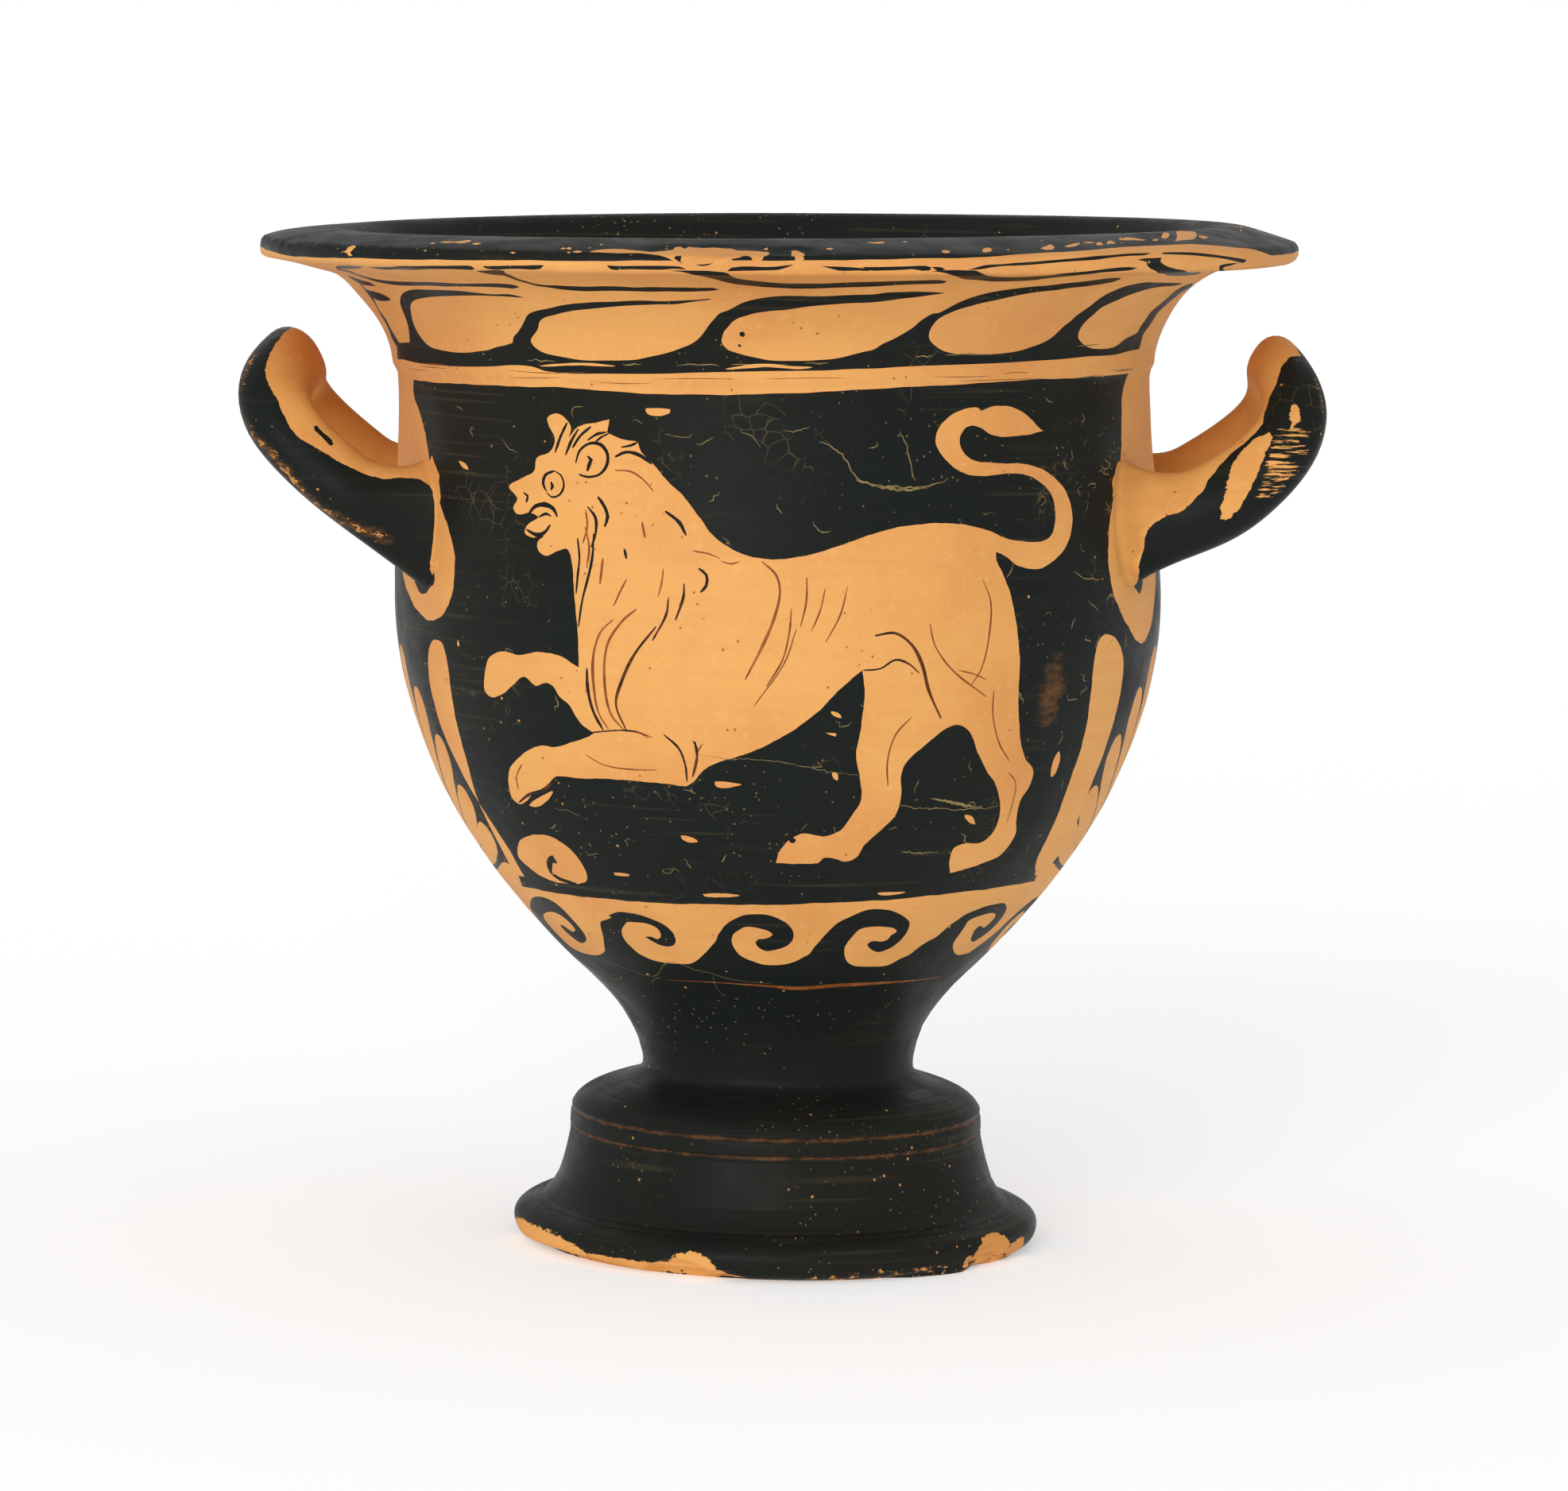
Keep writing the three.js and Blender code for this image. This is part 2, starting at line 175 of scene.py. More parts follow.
def fire(p):
    """The vessel as it came from the kiln; p is (n, 3) in mm."""
    x, y, z = p[:, 0].copy(), p[:, 1].copy(), p[:, 2].copy()
    shift = np.zeros_like(z)
    for (z0, s0), (z1, s1) in zip(WANDER[:-1], WANDER[1:]):
        k = (z >= z0) & (z <= z1)
        shift[k] = s0 + (s1 - s0) * smooth((z[k] - z0) / (z1 - z0))
    mouth = smooth((z - 240) / 22)
    edge = smooth((np.hypot(x, y) - 121) / 15) * mouth
    lift = mouth * (-TILT_X * x + TILT_Y * y) / LIP_R - edge * LIP_TWIST * x / LIP_R
    x += shift
    z += lift
    lean = np.sin(np.radians(LEAN)) * smooth((z - 44) / 14)
    return np.stack([x - (z - STEM_Z) * lean + FOOT_X, y, z + x * lean], 1)
# ---- the painted drawing ---------------------------------------------------------
# u: millimetres round the wall (at a radius of 100) from the middle of the front,
# v: millimetres up the wall from the edge of the base. A third number marks a corner.
LION = [
    (-61.3, 268.2), (-58.4, 269.5), (-55.7, 268.3), (-54.1, 266.1), (-54.7, 263.4, 1),
    (-52, 266.2), (-47.1, 267.4), (-42.8, 268.4, 1), (-43.6, 265.1, 1), (-39.8, 263.6),
    (-35, 262.8, 1), (-34.1, 260.4), (-31, 257.3), (-27, 252.9), (-22.9, 249), (-18.9, 243.7),
    (-15.8, 239.7), (-10.7, 236), (-3.7, 233.8), (4.4, 234), (12.2, 235.8), (20, 238.4),
    (28, 240.8), (36.4, 242), (45.9, 242), (55.1, 240.2), (61.7, 237.6), (69.1, 236.4),
    (75.3, 236.8), (77.7, 239.4), (78.5, 244.4), (77.1, 248.5), (72.4, 252.3), (65.4, 254.1),
    (57.2, 253.8), (50.7, 254.3), (45.5, 257.5), (42.4, 261.8), (42.8, 265.8), (45.9, 268.9),
    (50.6, 270.9), (54.6, 271.2), (55.6, 270.2, 1), (59.4, 271.4), (65.1, 271), (69.8, 269.1),
    (73, 266.5), (75.7, 264.5, 1), (70.5, 263.8), (63.1, 263.5), (58.4, 264.2), (55.3, 266),
    (52.8, 266.7), (50.3, 265.7), (49, 263), (49.8, 260.1), (53.3, 257.7), (61.3, 256.8),
    (70.3, 256.1), (77.9, 253.2), (83.1, 248.4), (85, 242.7), (83.4, 236.4), (78.5, 231.9),
    (71.8, 229.4), (65.3, 230.4), (60.9, 233.2), (58.3, 234.3, 1), (58.2, 232.2), (59.9, 229.2),
    (62.2, 223.4), (64.1, 214.5), (65.5, 205.3), (66.3, 195.9), (68.9, 186.1), (72.7, 179.4),
    (77.4, 175.5), (78.1, 170.8), (76.2, 166.5), (77.4, 161), (80, 155.3), (77.6, 149.8),
    (70.9, 147.4), (62.1, 145.5), (58.9, 145.1, 1), (56.7, 149.1), (56.7, 153.4), (60.4, 154.7),
    (65.7, 154.3), (68.9, 156.2), (70.1, 160.2), (68.6, 166), (64.5, 172.3), (60, 176.7),
    (55.9, 182), (52.8, 187.1), (49.9, 189.6), (47, 189.9), (43.4, 188.1), (39.3, 184.5),
    (35, 180.5), (33.9, 176.5), (34.8, 170.3), (34.2, 165.3), (30.4, 160.5), (26.3, 156.3),
    (24.3, 152.1), (20.8, 150.9), (17.4, 151.9), (14, 152.2), (12.5, 150.6), (6.5, 150.4),
    (-0.5, 150.7, 1), (0.6, 154.2), (3.5, 158.1), (7.6, 160), (13.9, 159.1), (18.2, 160.8),
    (20.5, 164.2), (23.2, 169.4), (22.5, 175.6), (20.8, 182.2), (21.6, 190.7), (22.1, 200.1),
    (21.3, 205.3, 1), (16.4, 201.1), (10, 194.4), (2.2, 188.5), (-7.1, 183.6), (-15.4, 180.8),
    (-19.9, 178.4), (-22.6, 175.2), (-25, 173.6, 1), (-29.7, 174.1), (-38.6, 174.6),
    (-48, 174.8), (-57.8, 174.4), (-64.8, 174.5), (-68.9, 171.9), (-75.3, 168.8),
    (-82.9, 164.9), (-85.8, 166.3), (-85.1, 171.3), (-82.1, 175.7), (-74.3, 180.6),
    (-68.4, 182.9), (-63.2, 182.9), (-57.6, 184.4), (-51.6, 186.5), (-49.5, 187.6, 1),
    (-52.7, 189.4), (-54.7, 192.2), (-55.8, 194.7), (-58.8, 196.9), (-60.5, 199.6),
    (-62.5, 200.4), (-66.2, 199.3), (-69.7, 201.6), (-73.5, 199.3), (-77.9, 196.6),
    (-82.8, 195.1), (-85.2, 196.8), (-84.2, 201.6), (-81.7, 205.7), (-76.7, 207.7),
    (-71.1, 207.1), (-64.5, 208.2), (-58.1, 207.8), (-53.8, 205.8), (-52.1, 204.9, 1),
    (-51.8, 210.4), (-52.2, 217.2), (-52.9, 223.9), (-53.4, 230.2), (-55, 235.1),
    (-58.5, 234.2), (-61.5, 233), (-63.9, 234.3), (-64.3, 236.5), (-62.2, 238.2),
    (-65.6, 237.6), (-68.6, 238.6), (-67.5, 240.9), (-64.1, 242.8), (-67, 243.8),
    (-70.9, 243.2), (-72.6, 244.9), (-71.3, 247.3), (-74.3, 250.1), (-71.9, 251.6),
    (-68, 253.3), (-65.4, 254.6), (-64.8, 257.9), (-60.9, 259.4), (-59.3, 261), (-59.1, 263.5),
    (-60.7, 265.9),
]
# brush and relief lines inside the animal: points, width, 0 black line or 1 thin brown wash
STROKES = [
    ([(-52.6, 257.0), (-51.5, 260.1), (-48.6, 262.1), (-45.3, 261.9), (-43.4, 259.5), (-43.7, 256.6), (-45.8, 254.3), (-49.2, 253.6), (-51.7, 254.2)], 0.8, 0),
    ([(-49.1, 258.9), (-48.1, 258.0), (-48.7, 256.6), (-49.2, 255.1)], 1.1, 0),
    ([(-55.2, 267.2), (-57.1, 263.8), (-58.9, 259.5)], 0.75, 0),
    ([(-51.8, 265.7), (-53.8, 262.8), (-55.7, 258.9)], 0.75, 0),
    ([(-48.1, 266.4), (-51.2, 264.0), (-53.6, 260.8)], 0.7, 0),
    ([(-43.6, 265.1), (-46.3, 264.6), (-49.1, 262.9)], 0.65, 0),
    ([(-41.3, 258.9), (-38.2, 260.2), (-34.6, 259.5), (-31.3, 257.3)], 0.85, 0),
    ([(-42.8, 264.9), (-45.3, 263.7), (-47.1, 262.3)], 0.5, 0),
    ([(-35.0, 262.8), (-36.9, 261.9), (-39.6, 261.4)], 0.6, 0),
    ([(-59.1, 254.8), (-61.9, 253.7), (-62.7, 251.4), (-61.6, 249.5)], 0.8, 0),
    ([(-59.1, 254.8), (-57.0, 253.7), (-56.2, 251.2), (-57.5, 248.8), (-60.0, 248.1), (-61.6, 249.2)], 0.55, 0),
    ([(-60.2, 252.0), (-59.7, 250.9), (-60.2, 249.9)], 1, 0),
    ([(-69.2, 248.9), (-67.8, 248.1), (-68.3, 246.3)], 0.75, 0),
    ([(-67.3, 243.6), (-65.3, 245.5), (-62.2, 246.1), (-59.4, 245.1), (-58.2, 243.1)], 1.1, 0),
    ([(-68.0, 239.5), (-64.8, 238.3), (-62.2, 238.9), (-60.3, 241.0)], 0.9, 0),
    ([(-64.1, 242.8), (-61.8, 243.8), (-60.1, 243.2)], 0.7, 0),
    ([(-46.3, 248.7), (-44.4, 246.2), (-43.5, 243.6), (-44.3, 241.1)], 0.9, 0),
    ([(-49.3, 246.1), (-46.9, 243.3), (-46.8, 239.4), (-48.0, 235.8)], 0.75, 0),
    ([(-49.8, 245.2), (-49.2, 240.9), (-50.5, 236.6)], 0.5, 1),
    ([(-52.0, 238.0), (-51.4, 233.0), (-51.9, 228.5), (-52.3, 223.7)], 0.6, 0),
    ([(-49.8, 240.9), (-48.6, 235.8), (-49.3, 230.4)], 0.5, 1),
    ([(-47.4, 239.3), (-47.6, 234.0), (-48.5, 229.5), (-50.6, 221.8), (-51.7, 215.4)], 0.65, 0),
    ([(-44.7, 233.2), (-45.5, 226.5)], 0.6, 1),
    ([(-38.8, 235.7), (-38.2, 233.2)], 0.95, 0),
    ([(-34.1, 242.7), (-33.2, 238.5)], 0.5, 1),
    ([(-41.4, 255.5), (-37.0, 255.3), (-33.5, 253.2), (-31.0, 250.4)], 0.4, 1),
    ([(-28.0, 245.5), (-24.3, 242.7), (-22.5, 239.4)], 0.85, 0),
    ([(-28.4, 231.0), (-28.9, 227.2), (-29.8, 223.8)], 0.4, 1),
    ([(-38.1, 228.1), (-40.1, 224.4), (-41.7, 221.0)], 0.4, 1),
    ([(-19.4, 231.2), (-17.4, 229.5), (-17.5, 226.8), (-19.0, 225.1)], 0.75, 0),
    ([(-23.1, 227.3), (-23.3, 223.8), (-25.4, 217.9)], 0.65, 0),
    ([(-27.1, 223.7), (-27.8, 219.2), (-31.4, 212.6)], 0.6, 0),
    ([(-35.5, 220.5), (-39.5, 217.2), (-43.6, 211.0), (-44.9, 201.6), (-44.0, 193.2), (-40.8, 188.8)], 0.6, 1),
    ([(-41.9, 217.6), (-45.4, 214.3), (-47.7, 207.7), (-48.1, 199.1), (-47.4, 193.0), (-45.2, 188.8)], 0.6, 1),
    ([(-30.4, 216.2), (-36.2, 209.0), (-40.1, 201.8), (-42.2, 195.6), (-40.1, 188.8)], 0.75, 0),
    ([(-49.7, 204.8), (-49.9, 199.0), (-48.9, 193.2), (-46.8, 188.5)], 0.85, 0),
    ([(-50.3, 187.7), (-41.6, 188.7), (-36.6, 188.3), (-34.1, 186.9)], 0.45, 0),
    ([(-3.5, 233.1), (-0.0, 229.6), (0.8, 224.9), (-0.9, 218.2), (-3.7, 211.5), (-8.0, 203.0)], 0.6, 1),
    ([(7.6, 229.1), (7.3, 222.9), (5.8, 216.6)], 0.4, 1),
    ([(3.6, 221.2), (3.0, 215.1), (1.3, 208.1), (-2.7, 201.2)], 0.4, 1),
    ([(12.1, 226.2), (10.7, 220.6), (8.5, 215.5)], 0.35, 1),
    ([(17.7, 226.7), (15.7, 219.5), (12.0, 212.6)], 0.35, 1),
    ([(4.8, 216.2), (1.7, 207.2), (-5.9, 196.1)], 0.3, 1),
    ([(24.4, 214.1), (29.7, 214.6), (34.1, 211.4), (36.9, 206.4), (39.2, 199.3), (43.2, 191.9)], 0.8, 0),
    ([(21.5, 205.3), (25.9, 205.6), (29.8, 207.8), (33.3, 206.7), (36.3, 204.1)], 0.5, 0),
    ([(38.8, 216.7), (40.4, 210.8), (45.8, 204.2), (55.9, 197.1)], 0.4, 1),
    ([(54.0, 227.5), (56.1, 221.7), (55.5, 212.7), (53.7, 204.7), (50.9, 200.2)], 0.4, 1),
    ([(58.0, 198.7), (58.8, 191.6), (62.4, 184.1), (67.3, 178.8)], 0.4, 1),
    ([(68.2, 175.5), (72.2, 171.8), (73.4, 165.4), (73.8, 159.9)], 0.35, 1),
    ([(35.0, 192.7), (31.0, 188.0), (29.5, 180.7), (30.5, 173.5)], 0.4, 1),
    ([(-53.5, 181.4), (-48.5, 178.8), (-40.7, 177.9), (-32.7, 178.0)], 0.35, 1),
    ([(-29.8, 188.0), (-26.1, 184.4), (-24.7, 179.8), (-24.7, 175.0)], 0.6, 0),
    ([(-21.6, 186.4), (-21.3, 182.1), (-23.0, 176.3)], 0.7, 0),
    ([(-22.3, 186.7), (-20.6, 183.9)], 0.3, 0),
    ([(-19.6, 185.8), (-21.2, 183.1)], 0.3, 0),
    ([(-77.1, 176.9), (-80.7, 173.1), (-81.7, 169.3)], 0.45, 1),
    ([(-83.4, 165.4), (-78.2, 168.0), (-71.3, 170.1), (-67.0, 172.5)], 0.8, 0),
    ([(47.0, 204.5), (52.0, 203.2), (55.3, 201.7)], 0.3, 1),
    ([(-37.8, 188.9), (-33.1, 187.1)], 0.3, 1),
    ([(-20.9, 235.6), (-16.4, 234.8), (-14.0, 233.7)], 0.35, 1),
    ([(-13.7, 233.1), (-11.1, 232.4), (-8.9, 233.1)], 0.4, 1),
]
# small places the painter missed
SPOTS = [
    [(-79.2, 165.0), (-74.3, 167.5), (-67.9, 169.9), (-70.9, 167.0), (-76.2, 164.7)],
    [(-32.7, 271.3), (-26.2, 271.2), (-26.5, 270.3), (-29.5, 269.4), (-32.3, 270.0)],
    [(-17.0, 175.2), (-12.4, 175.0), (-9.7, 174.5), (-13.7, 173.5), (-16.6, 173.7)],
    [(-28.7, 158.9), (-25.4, 158.5), (-23.7, 157.2), (-26.2, 156.8), (-28.5, 157.8)],
    [(-55.2, 145.5), (-49.5, 145.3), (-49.7, 144.7), (-55.1, 144.6)],
    [(-25.1, 139.7), (-16.7, 140.1), (-12.6, 139.5), (-16.9, 138.8), (-24.5, 138.9)],
    [(34.1, 139.7), (39.2, 139.8), (44.3, 139.4), (39.6, 138.7), (35.3, 138.9)],
    [(13.6, 194.6), (15.7, 194.1), (16.4, 192.9), (14.4, 193.4)],
    [(14.6, 177.8), (16.1, 177.5), (16.2, 175.5), (15.2, 176.0)],
    [(86.2, 172.7), (84.7, 177.2), (86.0, 180.1), (87.7, 177.5), (87.7, 173.6)],
    [(12.4, 188.9), (15.2, 188.6), (15.0, 187.9)],
    [(56.6, 163.6), (59.2, 163.2), (61.5, 160.6), (59.0, 161.3)],
    [(-94.6, 255.9), (-91.3, 255.2), (-90.1, 253.8), (-92.9, 254.4)],
    [(-94.5, 209.4), (-93.9, 207.8), (-95.1, 208.0)],
]
# hairline cracks in the gloss: points, width
CRACKS = [
    ([(11.6, 263.2), (15.2, 261.6), (18.4, 258.7), (19.7, 255.6), (21.6, 253.4), (26.7, 251.9), (33.0, 251.5), (39.0, 251.6), (45.3, 253.3)], 0.5),
    ([(32.2, 265.8), (34.3, 261.6), (35.0, 257.1), (36.0, 252.8)], 0.4),
    ([(20.7, 253.7), (23.8, 252.4), (29.5, 251.2), (35.4, 250.8), (39.3, 251.6)], 0.8),
    ([(-22.6, 183.1), (-13.2, 181.8), (-6.2, 181.7), (0.8, 180.9), (11.5, 178.6), (22.2, 176.8)], 0.22),
    ([(33.8, 167.7), (42.1, 166.6), (50.8, 165.9), (61.6, 165.2), (68.0, 165.5)], 0.3),
    ([(43.9, 169.4), (48.7, 168.4), (56.5, 166.6), (62.5, 165.4)], 1),
    ([(38.6, 153.3), (42.9, 152.8), (51.0, 152.3)], 0.5),
    ([(84.6, 228.3), (88.8, 226.0), (96.3, 225.1)], 0.4),
    ([(-8.4, 266.3), (-4.8, 264.1), (-3.5, 262.1)], 0.25),
    ([(2.5, 266.3), (5.2, 265.9), (9.2, 267.0)], 0.3),
    ([(9.4, 243.2), (10.7, 240.9), (13.8, 240.7)], 0.4),
    ([(-76.6, 262.4), (-74.7, 260.2), (-71.2, 259.0)], 0.3),
    ([(-27.7, 265.0), (-24.0, 264.3), (-20.6, 264.6)], 0.25),
    ([(32.9, 160.8), (35.6, 161.2)], 0.4),
    ([(-69.5, 164.7), (-64.6, 164.6), (-60.3, 163.0)], 0.2),
    ([(-90.5, 111.0), (-76.9, 108.0), (-65.0, 106.0), (-59.1, 107.1), (-48.7, 113.0), (-40.2, 111.3), (-29.1, 108.6), (-17.6, 106.2), (-2.4, 105.0)], 0.22),
    ([(-30.0, 108.3), (-30.1, 102.4), (-28.1, 98.5)], 0.22),
    ([(-68.2, 100.9), (-63.5, 104.7), (-58.2, 105.9)], 0.22),
]
FRAME_L = [
    (-107.9, 208.3), (-102.2, 207.5), (-101, 199.6), (-102.3, 188.6), (-103.7, 175),
    (-106.4, 163), (-107.4, 151.7), (-109.4, 140.2), (-103.4, 139.8, 1), (-102.4, 150.4),
    (-106.4, 163), (-110.3, 173.2), (-113.6, 184.9), (-113.4, 198.5), (-111.4, 204.6),
]
FRAME_R = [
    (96.8, 210.6), (102.1, 210), (107.9, 205.6), (110.6, 199), (111.2, 188), (111.4, 177.9),
    (112, 165), (115.4, 152.3), (115.5, 143.2), (107, 139.6, 1), (100, 145.7), (98.1, 156.6),
    (96.6, 170.1), (96.2, 182.7), (94.4, 196), (94, 206.6),
]
CURL = [
    (-94.2, 151.3), (-87.7, 154.4), (-77, 155.9), (-69.9, 153), (-66.6, 147), (-67.8, 142.1),
    (-73.7, 140.2), (-85.1, 140), (-91.6, 141.5), (-95.8, 143.8), (-98.5, 146.7),
]
CURL_HOOK = [(-73.6, 140.0), (-81.3, 141.4), (-83.8, 143.4), (-81.0, 147.3), (-78.1, 148.1)]
# the lower edge of the clay band: the running waves, front of the vessel
WAVES = [
    (-136.4, 110.6), (-138.5, 113.7), (-138, 117.2), (-133.7, 121.1), (-128.7, 124.9), (-119.5, 128.5),
    (-110.5, 131.5), (-103.7, 132.8), (-97.8, 132.9), (-93.9, 131.9), (-91.3, 129.9), (-89.7, 127.1),
    (-88.5, 124), (-88.3, 121), (-89.8, 118.7), (-93.3, 117.1), (-97.6, 116.3), (-100.4, 117.3),
    (-102.9, 119.2), (-103.9, 121.2), (-103.6, 122.4, 1), (-101.2, 122.7), (-99.1, 121.7), (-97.1, 120.7),
    (-93.2, 121.7), (-92.7, 123.3), (-93.7, 125.2), (-95.9, 126.8), (-100, 127.5), (-106.1, 126.9),
    (-113.1, 125.2), (-116.7, 123.4), (-118.1, 121.1), (-118.1, 118.4), (-117.1, 115.8), (-114.9, 113.3),
    (-109.6, 112), (-101.3, 111.6), (-90.8, 112.3), (-83, 114.6), (-80, 117.4), (-77, 120.5), (-75.3, 123.1),
    (-73.7, 125.6), (-72.1, 127), (-69, 127.8), (-65.4, 129, 1), (-66.6, 129.5, 1), (-63, 130.8),
    (-59.7, 131.5), (-56.2, 131.4), (-52.6, 131.1), (-49.6, 130.4), (-46.8, 129.4), (-44.3, 128.4),
    (-42.3, 127), (-40.8, 125), (-40.6, 122.5), (-41.8, 120.6), (-44.1, 119.5), (-47.1, 119.3), (-50, 120.1),
    (-52.5, 121.5), (-54, 122.6, 1), (-51.3, 122.8), (-48.9, 122), (-47.1, 122.8), (-46.2, 124.4),
    (-46.7, 126.1), (-48.5, 127.2), (-51.6, 127.9), (-55.8, 127.9), (-59.2, 127.7), (-61.2, 126.4),
    (-63.6, 124.7), (-65.2, 122.1), (-65.3, 119.9), (-64.2, 117.8), (-62.6, 115.7), (-60, 114.3),
    (-56.6, 113.2), (-52.2, 112.6), (-47.3, 112.5), (-42.7, 112.5), (-39.1, 112.7), (-35, 114.2),
    (-31.7, 116.3), (-28.9, 118.3), (-26.1, 120.7), (-24, 122.6), (-22.9, 124.5), (-21.2, 126.4),
    (-19.6, 128.2), (-17.5, 129.8), (-14.7, 131.3), (-11.4, 132.6), (-7.9, 132.9), (-5.1, 132.9), (-2.3, 132.4),
    (0.6, 131.2), (3.2, 129.7), (5, 127.9), (6, 126.1), (6.1, 123.6), (5, 121.8), (2.5, 120.2), (-1, 119.2),
    (-4.3, 118.7), (-6.5, 119.5), (-8, 120.8), (-8.5, 122.3), (-7.5, 123.3), (-5, 123.6), (-2.8, 124.3),
    (-1.7, 125.2, 1), (-3, 126.4), (-5.7, 127.3), (-8.9, 128), (-11.9, 128), (-14.8, 126.5), (-16.8, 125),
    (-17.8, 122.5), (-17.4, 120), (-15.9, 117.4), (-13.8, 115.9), (-10.6, 114.6), (-6.3, 113.3), (-1.1, 113),
    (4.1, 113.5), (8.1, 114.7), (11, 116.3), (13.2, 117.5), (14.5, 119.8), (16.3, 122.2), (18.1, 124.7),
    (19.8, 126.8), (21.5, 128.8), (23.6, 130.3), (26, 131.4), (28.7, 132.7), (31.4, 133.7), (34.3, 134),
    (38, 133.7), (41.3, 133.1), (45, 131.7), (48.4, 130), (51, 128.1), (51.9, 125.9), (51.8, 123.5),
    (50.9, 121.4), (48.6, 119), (45.7, 117.6), (43, 117.1), (40.1, 117.9), (37.7, 119.3), (36.5, 120.6),
    (37.5, 121.5), (39.4, 121.7), (42.4, 121.3), (44.8, 122.1), (45.4, 123.6), (46.8, 124.4), (47.1, 125.2, 1),
    (44.8, 126.4), (41.2, 127), (37.8, 127.3), (34, 127.2), (31.1, 126.4), (29.3, 124), (28, 121.9),
    (27.3, 119.7), (28.4, 116.2), (30.3, 113.8), (34, 112), (38.8, 111.4), (44.8, 111.1), (50, 111.1),
    (52.8, 112), (55.4, 113.5), (59.5, 115.1), (61.7, 117.5), (64.8, 119.8), (67.8, 121.1), (70, 123.4),
    (71.6, 125.4), (74.1, 127.3), (76.6, 129.1), (80.7, 130.2), (85.5, 131.2), (91, 131.4), (96.2, 131.3),
    (100.8, 129.6), (103.8, 127), (104.9, 124.6), (104.4, 121.9), (102.5, 119.7), (99.3, 117.9), (96.1, 116.8),
    (92.5, 118), (90.7, 120), (89.8, 122.2), (91.4, 123.4), (95.2, 122.3), (97, 123), (97.9, 124.7),
    (97.9, 126.2), (95.3, 127.6), (91.4, 128.1), (87.4, 127.8), (83.7, 127.3), (80.9, 126.1), (81.2, 123.6),
    (81.1, 120.3), (81.2, 118.1), (84.2, 115.3), (89.8, 112.6), (94.8, 111.8), (101.6, 112), (107.8, 113.3),
    (112.8, 114.9), (116.3, 117.6), (119, 120.3), (119.5, 123.5), (120.4, 126.6), (121.7, 129.6),
]
# black of the leaf band: its lower edge, then back along the leaves and stalks
BAND_LOW = [
    (-133.4, 281.1), (-126.9, 281.1), (-117.7, 280.8), (-108.5, 280.6), (-98.5, 280.6), (-87.6, 280.8),
    (-78.1, 281.2), (-72.3, 281.7), (-68.2, 281.8), (-64.8, 281.6), (-62.9, 281.2), (-60.7, 280.6),
    (-57, 280.3), (-52.3, 280.1), (-43.2, 280.3), (-34.5, 280.4), (-26.2, 280.6), (-20.1, 280.9),
    (-10.1, 281.2), (-2.2, 281.4), (5.7, 281.5), (13.6, 281.6), (19.5, 281.9), (26.6, 282), (31.8, 282.3),
    (38.1, 282.5), (46.8, 282.6), (56, 282.7), (63.3, 282.8), (71.1, 283), (79.6, 283.1), (85.8, 283.3),
    (92.4, 283.5), (100, 283.4), (106.4, 283.5), (113.4, 284.1), (121, 284.3, 1),
]
